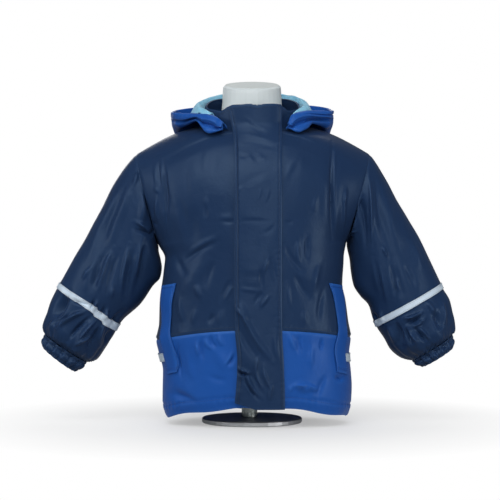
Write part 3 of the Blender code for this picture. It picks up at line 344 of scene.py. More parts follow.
FRONT_CREASES = table(FOLD_NAMES, """
# the wearer's right front
-152 412 -147 368 1.4 2.4 0.4 1
-146.5 416 -143 372 -2 2.4 0 0
-141.5 412 -138.5 366 1.8 2.4 0.3 1
-137.5 416 -134 296 -3.5 2.5 0 -2
-151 374 -147 364 2 2.5 0.4 0
-149 358 -146.5 318 2.6 2.9 0.4 1
-158 320 -147 315 -2 2.5 0 1
-130 404 -127 352 0.8 2.5 0.3 1
-98.5 408 -99.5 350 -0.7 4.6 0.2 2
-113 360 -104 306 -1.3 5.1 0.3 -3
-84 430 -90 330 0.4 7.7 0 3
-49 320.5 -25 320 -1.5 2.7 0.3 1
-54 326 -28 327 1 4.2 0 1
-81 322 -72 362 0.9 3.4 0.4 2
-72 362 -62 324 1 3.4 0.4 2
-72 352 -71 322 -1.7 4.2 0.1 0
-110 254 -52 289 -2.9 4.2 0.4 -4
-104 262 -50 298 2.1 4.2 0.3 -4
-86 224 -78 200 2.8 4.2 0.3 1
-56 262 -72 210 -2.4 5.6 0.3 3
-27 222 -41 194 2.3 2.2 0.5 2
-31 232 -48 196 -2 2.8 0.2 2
-118 268 -98 232 -2.3 4.8 0.2 3
-60 178 -66 160 -3.1 3.5 0.2 0
-84 186 -92 158 2 4.2 0.2 1
-44 186 -50 158 2.1 4.2 0.2 1
-112 204 -104 160 2.3 4.2 0.2 3
-52 430 -58 384 -0.6 5.4 0.2 2
-68 436 -74 392 0.6 4.6 0.2 2
-96 462 -118 440 -0.8 5.4 0.2 2
# its blue panel
-40.5 97 -25.5 119 -3.8 2.2 0.3 2
-46 94 -30 124 2.7 2.8 0.3 2
-32 92 -24 108 2.4 2.4 0.3 1
-64 146 -52 124 -3.2 2.9 0.3 4
-52 146 -42 128 2.8 2.9 0.3 2
-72 142 -60 122 2.4 3.5 0.3 3
-84 136 -82 112 3 2.8 0.4 1
-78 138 -76 104 -2.8 3.1 0.2 1
-99 124 -86 72 2.4 7 0.3 4
-117 132 -108 78 -3.8 2.8 0.2 2
-127 52 -84 40 -3.8 4.8 0.3 -3
-70 84 -36 76 -1.9 4.2 0.2 3
# the wearer's left front
130 440 130 300 1.8 2.4 0.5 1
125.5 446 124.5 290 -3.3 2.4 0.2 1
141 346 146 372 2 2.9 0.4 1
146 372 144 300 2.1 2.7 0.4 1
134 352 132 296 1.4 4.2 0.4 1
101 362 97 330 1.3 4.2 0.3 1
72 292 74 252 2.4 3.2 0.4 2
86 298 86 258 -2.9 3.5 0.3 1
79 432 48 372 0.7 4.6 0.3 4
88 428 58 372 -0.4 5.4 0.3 4
48 319 64 319 -1 2.5 0.4 1
50 290 84 236 -2.5 4.2 0.4 5
66 246 94 196 -2.3 4.8 0.3 4
56 226 60 186 1.7 2.2 0.5 1
108 258 96 206 2.3 4.8 0.3 3
114 222 104 160 -2.3 4.2 0.3 3
80 186 84 158 1.7 4.2 0.2 1
96 458 116 438 -0.8 5.4 0.2 2
# its blue panel
54.5 57 62.5 67.5 2.2 2.6 0.5 0
61.5 68.5 86 69 3.8 2.5 0.5 2
84 70 104 61 3.2 2.8 0.5 2
64 58 96 57 -1.8 5 0.2 3
58 150 69 120 3.2 3.5 0.4 2
73 148 76 112 -2.4 3.5 0.2 2
107 138 107 120 -3 2.2 0.2 0
94 132 92 92 2.3 4.8 0.2 2
128 80 146 76 -4.5 3.5 0.2 2
118 82 100 44 -2.3 4.8 0.2 3""")
BACK_CREASES = table(FOLD_NAMES, """
-128 420 -120 340 2.2 5 0.3 2
130 424 122 336 2.2 5 0.3 -2
-96 420 -92 318 1.6 7 0.2 4
98 418 94 312 1.6 7 0.2 -4
-60 400 -34 352 -1.4 9 0.2 4
64 396 30 348 -1.4 9 0.2 -4
-118 300 -76 262 -1.9 7 0.3 4
-100 272 -50 222 -1.7 8 0.3 -4
118 302 80 252 -1.9 7 0.3 -4
104 262 54 214 -1.7 8 0.3 4
-30 290 16 236 1.5 9 0.2 5
20 246 -24 196 -1.4 8 0.2 5
-96 236 -60 206 1.7 7 0.2 3
-70 190 -24 164 -1.6 8 0.2 4
44 196 92 168 1.6 7 0.2 -3
116 232 108 176 -1.8 6 0.3 2
-120 246 -112 182 -1.8 6 0.3 2
-98 124 -88 50 -1.9 8 0.2 3
-36 118 -26 52 -1.7 8 0.2 3
44 122 40 44 -1.8 8 0.2 -3
108 120 112 56 -1.9 8 0.2 -3
-8 100 -10 40 1.6 8 0.2 2
28 96 30 36 1.6 8 0.2 2""")
FLAP_CREASES = table(FOLD_NAMES, """
-12 484 30 462 0.6 2.5 0.5 3
-8 476 26 456 -0.6 2.7 0.3 3
-20 456 40 440 0.6 3.2 0.3 -3
-22 444 40 432 -0.6 3.2 0.3 -3
-22 421 -7 420 -0.8 2.7 0.2 0
-6 424 6 408 1 3.6 0.4 1
8 424 26 414 0.9 4.5 0.4 2
-22 362 44 390 0.3 4.5 0.6 -3
-20 374 40 402 -0.35 4.5 0.2 -3
-24 366 -14 374 0.8 2.6 0.5 1
6 350 14 372 0.6 2.4 0.5 1
18 346 26 372 0.6 2.4 0.5 1
-24 320.5 34 319 -0.8 3 0.4 -1
-22 326 30 326 0.4 5 0 -1
14 300 36 316 -1 3.3 0.3 3
-18 248 14 246 0.7 6.6 0.3 1
-16 228 14 226 0.7 6.6 0.3 1
-20 216.5 12 213 1.5 2.4 0.6 0
15 248 16 216 -2.1 3.3 0.5 1
26 262 18 238 2.1 2.4 0.5 1
30 270 42 214 -1.4 4.9 0.2 2
28 206 13 186 2.6 2.4 0.5 1
18 212 4 192 -1.8 3.3 0.3 1
-23 188 -12 172 3.1 2.4 0.5 1
-14 176 -4 156 2.6 2.4 0.5 1
-16 188 34 104 4 4.4 0.5 6
-24 172 14 104 -3 5 0.2 5
36 150 42 100 1.8 4.2 0.2 2
10 112 6 84 3.6 2.4 0.5 1
6 96 20 60 3.8 2.4 0.5 3
18 98 32 60 4 2.8 0.5 3
32 72 27 42 3.4 2.8 0.5 1
-27 95 -2 83 -4.6 1.8 0.2 3
-26 99 0 87.5 4.4 2.4 0.3 3
-12 91 12 46 -4.8 1.8 0.2 6
-8 94 16 49 4.4 2.2 0.3 6
-22 87 -8 79 3 2.2 0.4 2
-10 80 5 50 3 2.2 0.4 3
-18 66 -20 44 1.9 2.8 0.4 1""")

# Folds of each sleeve: angle round it (0 outside, 90 in front, 180 against the body), the rings between
# which the fold runs, its rise, its width in degrees, its skew, and how far it drifts round on its way.
SLEEVE_NAMES = "angle from_ring to_ring rise width skew drift"
SHARED_SLEEVE_FOLDS = """
70 1.5 6.5 -2 13 0 0
104 2.5 7 1.6 12 0 0
132 3 7 -2 13 0 0
40 8 12 -2.6 12 0 0
66 8.6 12.5 2 10 0 0
88 8 12.5 -2.4 10 0 0
112 9 12.5 2 9 0 0
136 8.6 12.5 -2.4 10 0 0
12 9.6 12.5 2.6 11 0 0
218 8.4 12.5 -4.2 11 0 0
246 8.8 12.5 3 10 0 0
274 8.2 12.5 -4.2 11 0 0
306 8.8 12.5 3 10 0 0
334 9 12.5 -3.4 10 0 0
238 2 7 -3 14 0 0
286 1.5 6 2.4 14 0 0
54 10.2 12.4 -1.6 5 0.3 4
78 10.6 12.4 1.5 5 0.3 -4
101 10.4 12.4 -1.7 5 0.3 4
125 10.6 12.4 1.6 5 0.3 -4
26 10.2 12.4 -1.8 6 0.3 4"""
SLEEVE_FOLDS = {
    RIGHT: table(SLEEVE_NAMES, SHARED_SLEEVE_FOLDS + """
146 6.4 8.6 -3.6 5 0 0
160 9.4 12.3 -2.4 7 0.3 6
190 9 12.3 2.4 8 0.3 -6
205 1.4 7 2 9 0.3 -10
262 0.8 6.4 1.6 9 0.3 12
310 2 8 -1.8 9 0.3 -10
228 10 12.4 2.2 6 0.3 4
260 10.2 12.4 -2.2 6 0.3 -4
290 9.8 12.4 2.2 6 0.3 4
320 10.2 12.4 -2 6 0.3 4"""),
    LEFT: table(SLEEVE_NAMES, SHARED_SLEEVE_FOLDS + """
158 9.2 12.3 -2.4 7 0.3 6
188 9.2 12.3 2.3 8 0.3 -6
208 1.6 7.2 2 9 0.3 -12
266 1 6.6 1.6 9 0.3 10
314 2.2 7.6 -1.8 9 0.3 -12
232 10 12.4 2.2 6 0.3 5
258 10.3 12.4 -2.2 6 0.3 -5
288 9.9 12.4 2.2 6 0.3 5
322 10.1 12.4 -2 6 0.3 5""")}

# Folds of the dropped hood: along it from the right corner (-300) to the left (300), and up a section,
# 20 for each control point.
HOOD_FOLDS = table(FOLD_NAMES, """
-262 84 -232 150 1.8 9 0.3 4
-240 70 -214 120 -2 8 0.3 4
-200 90 -186 150 2.2 10 0.3 4
-160 60 -150 140 -2.4 12 0.3 4
-110 60 -96 150 2.6 12 0.3 6
-60 50 -48 140 -2.6 13 0.2 6
-14 60 -6 150 2.4 13 0.2 4
36 50 44 140 -2.6 13 0.2 -6
88 60 100 150 2.4 12 0.3 -6
136 60 150 140 -2.4 12 0.3 -4
182 80 200 150 2.2 10 0.3 -4
222 70 240 120 -2 8 0.3 -4
244 84 262 150 1.8 9 0.3 -4""")
# The hood's two front corners, where the rolled edge turns back over a hollow.
CORNER_FOLDS = table(FOLD_NAMES, """
-308 129 -303 142 -9 6.5 0 0
290 131 288 141 -7 6 0 0
240 137 176 141 -3 4 0 0
-318 128 -300 138 -7 8 0 0
-296 116 -264 122 2.4 8 0 0
302 126 286 136 -7 8 0 0
290 116 262 121 2.4 8 0 0""")
# Each piece of cloth: its finish, its thickness as shown in millimetres, how it is held, its flat width,
# length and area in metres, and what it rests on.
CUTS = {name: row for name, *row in rows_of("""
front_upper_right navy_cloth 1.3 hung 0.24 0.37 0.0685 dress_form
front_upper_left navy_cloth 1.3 hung 0.225 0.37 0.0643 dress_form
back_upper navy_cloth 1.3 hung 0.46 0.385 0.144 dress_form
front_lower_right blue_cloth 1.3 hung 0.21 0.145 0.025 front_upper_right
front_lower_left blue_cloth 1.3 hung 0.21 0.145 0.0248 front_upper_left
back_lower blue_cloth 1.3 hung 0.43 0.145 0.0542 back_upper
sleeve_right navy_cloth 1.3 hung 0.4 0.34 0.0955 front_upper_right back_upper
sleeve_left navy_cloth 1.3 hung 0.4 0.335 0.092 front_upper_left back_upper
cuff_right navy_cloth 2 gathered 0.26 0.027 0.007 sleeve_right
cuff_left navy_cloth 2 gathered 0.24 0.025 0.006 sleeve_left
collar navy_cloth 2.4 hung 0.43 0.042 0.0172 front_upper_right front_upper_left back_upper
storm_flap navy_cloth 1.3 hung 0.09 0.485 0.0375 front_upper_left
pocket_welt_right blue_cloth 1.8 stretched 0.035 0.155 0.0048 front_upper_right front_lower_right
pocket_welt_left blue_cloth 1.8 stretched 0.035 0.155 0.0046 front_upper_left front_lower_left
sleeve_tape_right reflective_tape 0.5 stretched 0.265 0.0148 0.0039 sleeve_right
sleeve_tape_left reflective_tape 0.5 stretched 0.26 0.0145 0.0037 sleeve_left
back_tape reflective_tape 0.5 stretched 0.478 0.014 0.0066 back_lower
hood_shell blue_cloth 1.3 folded 0.56 0.23 0.1 collar back_upper
hood_lining fleece 1.8 folded 0.5 0.22 0.09 hood_shell
hood_rim blue_cloth 0.6 folded 0.56 0.035 0.0195 hood_shell""")}
CLOTHS = {}                 # grids of cloth by piece
FINISHES = {}               # materials by slot
# The flap's two ends, by share of its width: the hem slants, and the top has a small step.
FLAP_ENDS = table("share hem top", """
0 5 -5
0.08 3.4 -1.6
0.2 0.6 -0.6
0.34 -3 0.4
0.44 -5 0.6
0.49 -5.2 -1.6
0.6 -5.2 -1.8
0.64 -5.2 0.2
0.85 -5.2 1.2
1 -5 0.4""")
# Where the sleeves' tape was sewn on in steps: angle round the sleeve, and the shift in rings.
TAPE_STEPS = {RIGHT: ((107.0, 0.2), (127.0, 0.2)), LEFT: ((150.0, 0.08),)}
# Creases of each sleeve's front; its back has those of the other sleeve, mirrored.
SLEEVE_CREASES = {
    RIGHT: table(FOLD_NAMES, """
-178 400 -226 262 2.8 7.5 0.25 5
-192 392 -244 258 -2.8 7.5 0.2 5
-208 372 -262 236 2.2 8 0.2 5
-168 296 -194 186 2.6 6 0.25 3
-240 268 -262 204 2.6 6 0.3 3
-228 276 -252 214 -2.8 5 0.2 3
-160 411 -166 369 -2.5 3.8 0.2 1
-175 403 -186 372 3 2.8 0.4 1
-164 370 -172 306 6.5 6.8 0.4 1
-184 321 -160 304 4.6 3 0.4 -2
-185 308 -156 294 -4.3 3.1 0.2 -2
-147 357 -146 319 3.8 2.8 0.4 0
-156 360 -155 313 -4.2 2.8 0.2 0
-149 313 -160 296 -5.7 3.8 0.2 0
-191 286 -207 197 5.1 2.8 0.4 3
-183 281 -197 197 -3.9 3.3 0.2 3
-217 280 -242 202 4.4 3.1 0.4 3
-208 275 -228 197 -3.9 3.8 0.2 3
-253 247 -266 227 3.6 2.4 0.4 1
-220 219 -220 199 3.9 2.4 0.4 0
-230 256 -250 210 -3.2 3.8 0.2 2
-166 288 -177 222 -4.4 4.6 0.2 2
-172 291 -181 228 3.2 3.8 0.3 2
-199 385 -230 314 2 6.8 0.2 3
-213 346 -244 275 -2 6.8 0.2 3
-242 197 -249 178 4.9 2.4 0.4 0
-247 199 -253 180 -4.3 2.4 0 0
-226 184 -233 164 5.5 2.4 0.4 0
-231 188 -238 169 -3.9 2.4 0 0
-213 172 -219 153 -6.2 2.4 0 0
-289 208 -308 166 -13.1 6.8 0.2 2
-257 180 -307 150 7.4 3.1 0.5 4
-278 172 -310 159 -4.4 3.1 0.2 2
-250 172 -288 133 -6.4 3.1 0.2 3
-242 167 -275 127 6.4 3.1 0.5 3
-236 156 -257 119 -6.4 3.3 0.2 2
-252 139 -278 125 5.6 2.4 0.5 1
-230 163 -241 123 5.1 3.3 0.4 2
-219 153 -232 119 -5.6 3.8 0.2 2
-285 199 -253 188 -4.4 3.1 0.2 1
-313 169 -319 144 5.1 3.8 0.2 0"""),
    LEFT: table(FOLD_NAMES, """
186 398 206 250 2.6 7 0.25 5
198 392 224 244 -2.4 7.5 0.2 5
212 376 246 232 2.2 8.5 0.2 5
190 270 214 186 2.4 6 0.25 3
222 262 240 196 -2.4 6 0.2 3
162 420 178 308 -6 4.2 0.2 2
184 397 188 280 3.9 2.4 0.5 -1
159 336 161 306 4.3 3.8 0.4 0
147 308 166 305 3 2.4 0.4 1
156 299 153 280 -8.3 3.8 0.2 0
199 382 228 231 1.4 14 0.2 -3
175 360 180 272 -3.4 3.1 0.2 0
194 391 203 297 -2.1 3.8 0.2 0
227 231 231 210 3.6 2.4 0.4 0
205 281 213 263 3.6 2.4 0.4 0
191 266 206 194 -3.9 3.8 0.2 -2
239 256 256 213 -2.7 4.6 0.2 -2
216 256 225 197 -3.1 3.3 0.2 -2
197 256 213 191 2.7 3.8 0.3 -2
247 297 269 241 2.6 5.4 0.2 -2
235 169 267 180 6.2 2.8 0.5 3
249 155 270 169 4.9 2.4 0.5 2
236 158 266 174 -4.9 2.6 0.2 2
244 150 261 127 5.1 2.4 0.4 -1
260 156 280 133 5.1 2.4 0.4 -1
252 155 272 128 -5.1 2.4 0.2 -1
238 155 253 123 -5.6 3.1 0.2 -1
224 164 236 125 -6.8 4.6 0.2 -2
283 184 296 147 -7.4 5.4 0.2 -2
272 195 289 169 4.9 3.8 0.3 -2
213 156 227 127 4.9 3.8 0.3 -2
300 197 306 156 5.1 3.8 0.2 0
192 177 199 158 -4.4 2.4 0 0
202 180 208 161 3.6 2.4 0.3 0""")}


# ---------------------------------------------------------------- curves through the tables
def curve(u, step, start, end, start_slope, end_slope):
    """A smooth curve from start to end, by share of a step."""
    rest = 1 - u
    return ((1 + 2 * u) * rest * rest * start + u * rest * rest * step * start_slope
            + u * u * (3 - 2 * u) * end - u * u * rest * step * end_slope)


def read(rows, key, name, at):
    """Values of one column on a smooth curve through the rows that never overshoots them."""
    keys, values = rows[key], rows[name]
    steps = np.diff(keys)
    slopes = np.diff(values) / steps
    both = slopes[:-1] * slopes[1:]
    middle = np.where(both > 0, 2 * both / np.where(both > 0, slopes[:-1] + slopes[1:], 1), 0)
    tangents = np.concatenate((slopes[:1], middle, slopes[-1:]))
    at = np.clip(at, keys[0], keys[-1])
    i = np.clip(np.searchsorted(keys, at, side="right") - 1, 0, len(steps) - 1)
    return curve((at - keys[i]) / steps[i], steps[i], values[i], values[i + 1], tangents[i], tangents[i + 1])


def blend(a, b, share):
    return a + (b - a) * share


def climb(x, low, high):
    """0 below low, 1 above high, and straight between them."""
    return np.clip((x - low) / (high - low), 0, 1)


def ease(x, low, high):
    """The same with a soft start and end."""
    u = climb(x, low, high)
    return u * u * (3 - 2 * u)


def bell(x, width, middle=0):
    """1 at the middle, and next to nothing two widths away from it."""
    return np.exp(-((x - middle) / width) ** 2)


def points_of(x, y, z):
    return np.stack(np.broadcast_arrays(x, y, z), -1).astype(float)


def unit(vectors):
    return vectors / np.maximum(np.linalg.norm(vectors, axis=-1, keepdims=True), 1e-9)


def as_grid(*values):
    return np.broadcast_arrays(*(np.asarray(value, float) for value in values))


def folds_at(rows, x, z):
    """Height of all folds of a panel: soft ridges and troughs that fade out at both ends."""
    rise = np.zeros(np.broadcast(x, z).shape)
    for x0, z0, x1, z1, height, width, skew, bend in zip(*rows.values()):
        run = math.hypot(x1 - x0, z1 - z0)
        along = ((x - x0) * (x1 - x0) + (z - z0) * (z1 - z0)) / run ** 2
        aside = ((x - x0) * (z1 - z0) - (z - z0) * (x1 - x0)) / run
        share = np.clip(along, 0, 1)
        aside = aside - bend * 4 * share * (1 - share)
        fade = np.sin(np.pi * np.clip(share, FOLD_END, 1 - FOLD_END)) ** 1.2
        away = np.hypot(aside, (along - share) * run)
        rise += height * fade * bell(away, width) * (1 + skew * aside / width)
    return rise


def unevenness(x, z, seed, size):
    """Small swells of the cloth, from -1 to 1, each about size millimetres across."""
    draw = np.random.default_rng(seed)
    swell = np.zeros(np.broadcast(x, z).shape)
    for _ in range(SWELLS):
        heading = draw.uniform(0, 2 * math.pi)
        pitch = 2 * math.pi / (size * draw.uniform(1.4, 3.2))
        phase = draw.uniform(0, 2 * math.pi)
        swell += np.sin((x * math.cos(heading) + z * math.sin(heading)) * pitch + phase)
    return swell / SWELLS ** 0.5 / 1.4


# ---------------------------------------------------------------- the coat's surfaces
def neck_seam(turn, side, grow=0):
    """Points of the neck seam; turn is 0 at the front and 180 at the back."""
    angle = np.radians(turn)
    x = NECK_CENTRE[0] + side * (NECK_HALF_WIDTH + grow) * np.sin(angle)
    y = NECK_CENTRE[1] - (NECK_HALF_DEPTH + grow) * np.cos(angle)
    low = blend(NECK_FRONT_Z, NECK_SIDE_Z, 1 - np.cos(angle))
    high = blend(NECK_SIDE_Z, NECK_BACK_Z, -np.cos(angle))
    return points_of(x, y, np.where(turn <= 90, low, high))


def front_shift(turn, gap=0):
    """How far the front of the neck seam is swung aside, because the fronts meet off the middle."""
    return (CENTRE_FRONT_X - NECK_CENTRE[0] + gap) * np.clip(1 - turn / 90, 0, 1)


def ring_point(rings, ring, angle, grow=0):
    """Points of a sleeve or cuff ring; angle 0 is its outer side, 90 its front."""
    value = {name: read(rings, "ring", name, ring) for name in rings}
    outer = points_of(value["outer_x"], value["middle_y"], value["outer_z"])
    inner = points_of(value["inner_x"], value["middle_y"], value["inner_z"])
    across = outer - inner
    half = 0.5 * np.linalg.norm(across, axis=-1) + grow
    depth = 0.5 * value["depth"] + grow
    turn = np.radians(angle)
    return (0.5 * (outer + inner) + unit(across) * (half * np.cos(turn))[..., None]
            + FRONT * (depth * np.sin(turn))[..., None])


def ring_middle(rings, ring):
    return 0.5 * (ring_point(rings, ring, 0) + ring_point(rings, ring, 180))


def inner_end(side, row, front):
    """Where a body row starts: on the centre line, or past its top on the neck seam."""
    corner = FRONT_NECK_ROW if front else BACK_NECK_ROW
    line = CENTRE_FRONT if front else CENTRE_BACK
    swing = np.clip((row - corner) / CENTRE_SWING_ROWS + 1, 0, 1)
    x = CENTRE_FRONT_X if front else blend(CENTRE_BACK_X, NECK_CENTRE[0], swing)
    low = points_of(x, read(line, "row", "y", row), read(line, "row", "z", row))
    turn = 90 * climb(row, corner, SHOULDER_ROW)
    high = neck_seam(turn if front else 180 - turn, side)
    if front:
        high[..., 0] += front_shift(turn)
    return np.where((row <= corner)[..., None], low, high)


def body(side, row, share, front):
    """Points of the smooth body; share is 0 at the centre line and 1 at the side seam or armhole."""
    row, share = as_grid(row, share)
    facing = -1 if front else 1
    up = climb(row, ARMPIT_ROW, SHOULDER_ROW)
    start = inner_end(side, row, front)
    arm = ring_point(SLEEVE[side], np.zeros(row.shape), 180 + facing * 180 * up)
    seam = points_of(*(read(SIDE_SEAM[side], "row", name, row) for name in "xyz"))
    end = np.where((row <= ARMPIT_ROW)[..., None], seam, arm)
    tilt = (np.radians(90 * (1 - up))
            + facing * SIDE_LEAN * np.clip((ARMPIT_ROW - 1 - row) / SIDE_LEAN_ROWS, 0, 1))
    wide = np.abs(end[..., 0] - start[..., 0])
    deep = np.abs(end[..., 1] - start[..., 1])
    first = blend(BOW_OUT[0], BOW_OUT[1], up ** 2) * wide
    last = blend(BOW_IN[0] * deep, BOW_IN[1] * wide, up)
    leave = start + points_of(side * first, 0, 0)
    arrive = end - points_of(side * np.cos(tilt) * last, -facing * np.sin(tilt) * last, 0)
    rest = 1 - share
    plan = (start * (rest ** 3)[..., None] + leave * (3 * rest ** 2 * share)[..., None]
            + arrive * (3 * rest * share ** 2)[..., None] + end * (share ** 3)[..., None])
    drop = blend(ease(share, 0, 1), share ** SHOULDER_RIDGE, up ** 1.5)
    plan[..., 2] = blend(start[..., 2], end[..., 2], drop)
    return plan


def shell(side, row, share, front):
    """Points of the body's outer side with all its folds, raised along the cloth's own direction."""
    row, share = as_grid(row, share)
    here = body(side, row, share, front)
    above = body(side, np.minimum(row + 0.1, SHOULDER_ROW), share, front)
    below = body(side, np.maximum(row - 0.1, 0), share, front)
    out = body(side, row, np.minimum(share + 0.02, 1), front)
    back = body(side, row, np.maximum(share - 0.02, 0), front)
    outward = unit(np.cross(out - back, above - below)) * (side if front else -side)
    x, z = here[..., 0], here[..., 2]
    broad = folds_at(FRONT_FOLDS if front else BACK_FOLDS, x, z) * np.minimum(1, 6 * (1 - share))
    fine = folds_at(FRONT_CREASES if front else BACK_CREASES, x, z)
    fine += SWELL_HEIGHT * unevenness(x + (0 if front else 500), z, 11, 26)
    fine *= np.minimum(1, 22 * (1 - share))
    if front:
        fine *= blend(1, 0.25, ease(x, -34, -26) * (1 - ease(x, 46, 54)))
    height = (broad + fine) * np.minimum(1, 0.25 * (SHOULDER_ROW - row))
    return here + outward * height[..., None]


def sleeve_shell(side, ring, angle):
    """Points of a sleeve's outer side with all its folds."""
    ring, angle = as_grid(ring, angle)
    height = np.zeros(ring.shape)
    for middle, first, last, rise, width, skew, drift in zip(*SLEEVE_FOLDS[side].values()):
        along = climb(ring, first, last)
        away = ((angle - middle - drift * (along - 0.5) + 180) % 360 - 180) / width
        height += rise * np.sin(np.pi * along) ** 0.8 * bell(away, 1) * (1 + skew * away)
    around = np.radians(angle)
    smooth = ring_point(SLEEVE[side], ring, angle)
    x, z = smooth[..., 0], smooth[..., 2]
    height += folds_at(SLEEVE_CREASES[side], x, z) * ease(np.sin(around), 0, 0.35)
    height += folds_at(SLEEVE_CREASES[-side], -x - 8, z) * ease(-np.sin(around), 0, 0.35)
    height += SWELL_HEIGHT * unevenness(60 * np.cos(around) + ring * 27,
                                        60 * np.sin(around) + side * 90, 17, 24)
    height = height * ease(ring, 0, 0.3) * (1 - ease(ring, 11.6, 12))
    return ring_point(SLEEVE[side], ring, angle, height)


def front_y(x, z):
    """Depth of the front's outer side at given x and z, found step by step."""
    x, z = as_grid(x, z)
    depth = np.zeros(x.shape)
    for side in SIDE_NAMES:
        mine = (x < CENTRE_FRONT_X) == (side == RIGHT)
        row = np.full(x[mine].shape, 10.0)
        share = np.full(x[mine].shape, 0.2)
        for _ in range(24):
            here = body(side, row, share, True)
            rise = (body(side, np.minimum(row + 0.2, SHOULDER_ROW), share, True)[..., 2] - here[..., 2]) / 0.2
            run = (body(side, row, share + 0.02, True)[..., 0] - here[..., 0]) / 0.02
            row = np.clip(row + 0.7 * (z[mine] - here[..., 2]) / rise, 0, FRONT_NECK_ROW)
            share = np.clip(share + 0.7 * (x[mine] - here[..., 0]) / run, 0, 0.9)
        depth[mine] = body(side, row, share, True)[..., 1] - folds_at(FRONT_FOLDS, x[mine], z[mine])
    return depth


# ---------------------------------------------------------------- cloth on a grid of points
def running(points, axis):
    """Distance along the grid's lines from their first point."""
    steps = np.linalg.norm(np.diff(points, axis=axis), axis=-1)
    start = np.zeros_like(np.take(steps, [0], axis))
    return np.concatenate((start, np.cumsum(steps, axis)), axis)


class Cloth:
    """The outer side of one piece of cloth: rows of points, which may close into a tube."""

    def __init__(self, points, outward, closed=False):
        self.closed = closed
        self.outward = outward
        self.place(points)

    def place(self, points):
        self.points = points
        if self.closed:
            across = np.roll(points, -1, 1) - np.roll(points, 1, 1)
        else:
            across = np.gradient(points, axis=1)
        normals = unit(np.cross(across, np.gradient(points, axis=0)))
        self.flipped = float((normals * self.outward).sum()) < 0
        self.normals = -normals if self.flipped else normals

    def face(self, outward):
        self.outward = outward
        self.place(self.points)

    def raise_by(self, height):
        self.place(self.points + self.normals * np.asarray(height)[..., None])

    def lift_by(self, height):
        """Moves the points straight up."""
        self.place(self.points + height[..., None] * np.array((0, 0, 1)))

    def distance(self, edge):
        """How far each point lies from one edge, along the cloth."""
        axis = 1 if edge in ("start", "end") else 0
        length = running(self.points, axis)
        return np.take(length, [-1], axis) - length if edge in ("end", "top") else length

    def along(self, edge):
        """How far each point lies along one edge."""
        return running(self.points, 0 if edge in ("start", "end") else 1)

    def line(self, edge, distance):
        """Points and directions of a line that keeps this distance from an edge."""
        away, points, normals = self.distance(edge), self.points, self.normals
        if edge in ("start", "end"):
            away, points, normals = away.T, points.transpose(1, 0, 2), normals.transpose(1, 0, 2)
        if edge in ("end", "top"):
            away, points, normals = away[::-1], points[::-1], normals[::-1]
        here = np.array([np.interp(distance, away[:, i], np.arange(len(away))) for i in range(away.shape[1])])
        low = np.clip(here.astype(int), 0, len(away) - 2)
        share = (here - low)[:, None]
        column = np.arange(away.shape[1])
        if self.closed and edge in ("bottom", "top"):
            column = np.append(column, 0)
            low = np.append(low, low[0])
            share = np.append(share, share[:1], 0)
        return (blend(points[low, column], points[low + 1, column], share),
                unit(blend(normals[low, column], normals[low + 1, column], share)))

    def sink_edges(self, *edges, depth=0.9, width=2.2):
        """Lets the cloth dip into its seams."""
        for edge in edges:
            self.raise_by(-depth * bell(self.distance(edge), width))

    def pucker(self, edge, at, depth, pitch, reach, seed):
        """Small uneven waves that the thread draws into the cloth along a line."""
        along = self.along(edge)
        draw = np.random.default_rng(seed)
        wave = np.sin(along * 2 * np.pi / pitch + 1.3 * np.sin(along / (2.6 * pitch) + draw.uniform(0, 6)))
        wave = wave * (0.6 + 0.4 * np.sin(along / (1.7 * pitch) + draw.uniform(0, 6)))
        self.raise_by(depth * wave * bell(self.distance(edge), reach, at))


def mesh_object(name, points, faces, material):
    mesh = bpy.data.meshes.new(name)
    mesh.from_pydata((np.reshape(points, (-1, 3)) * MM).tolist(), [], faces)
    mesh.materials.append(material)
    mesh.shade_smooth()
    piece = bpy.data.objects.new(name, mesh)
    bpy.context.scene.collection.objects.link(piece)
    return piece


def grid_faces(cloth, start):
    """The faces between a cloth's points, which are numbered from start."""
    rows, columns = cloth.points.shape[:2]
    here = np.arange(columns if cloth.closed else columns - 1)[None]
    after = (here + 1) % columns
    row = columns * np.arange(rows - 1)[:, None]
    faces = np.stack((row + here, row + after, row + columns + after, row + columns + here), -1)
    faces = faces.reshape(-1, 4) + start
    return (faces[:, ::-1] if cloth.flipped else faces).tolist()


def cloth_object(name, cloths, thickness, material):
    """A thin shell whose outer side is one or more grids of cloth, joined where they meet."""
    points = [cloth.points.reshape(-1, 3) for cloth in cloths]
    faces, start = [], 0
    for cloth, block in zip(cloths, points):
        faces += grid_faces(cloth, start)
        start += len(block)
    piece = mesh_object(name, np.concatenate(points), faces, material)
    bpy.ops.object.select_all(action="DESELECT")
    bpy.context.view_layer.objects.active = piece
    if len(cloths) > 1:
        weld = piece.modifiers.new("centre line", "WELD")
        weld.merge_threshold = 0.1 * MM
        bpy.ops.object.modifier_apply(modifier=weld.name)
    solidify = piece.modifiers.new("cloth", "SOLIDIFY")
    solidify.thickness = thickness * MM
    solidify.offset = -1
    bpy.ops.object.modifier_apply(modifier=solidify.name)
    piece.data.set_sharp_from_angle(angle=math.radians(50))
    return piece


def make_sheet(name, *cloths):
    """A sewn piece of cloth that stands for the solid of the same name."""
    slot, thickness, held, width, length, area, *rests_on = CUTS[name]
    CLOTHS[name] = cloths
    piece = cloth_object(name + "_cloth", cloths, float(thickness), FINISHES[slot])
    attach(piece, "root")
    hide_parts(name)


# ---------------------------------------------------------------- sewing
def stitch_model():
    """One stitch, a small rounded dash, modelled once and copied along every seam."""
    bpy.ops.mesh.primitive_uv_sphere_add(segments=6, ring_count=4, radius=1)
    ball = bpy.context.object
    points = np.array([vertex.co[:] for vertex in ball.data.vertices])
    faces = [tuple(face.vertices) for face in ball.data.polygons]
    bpy.data.objects.remove(ball, do_unlink=True)
    return points * np.array((STITCH_WIDTH, STITCH_WIDTH, 0.5 * STITCH_LENGTH)), faces


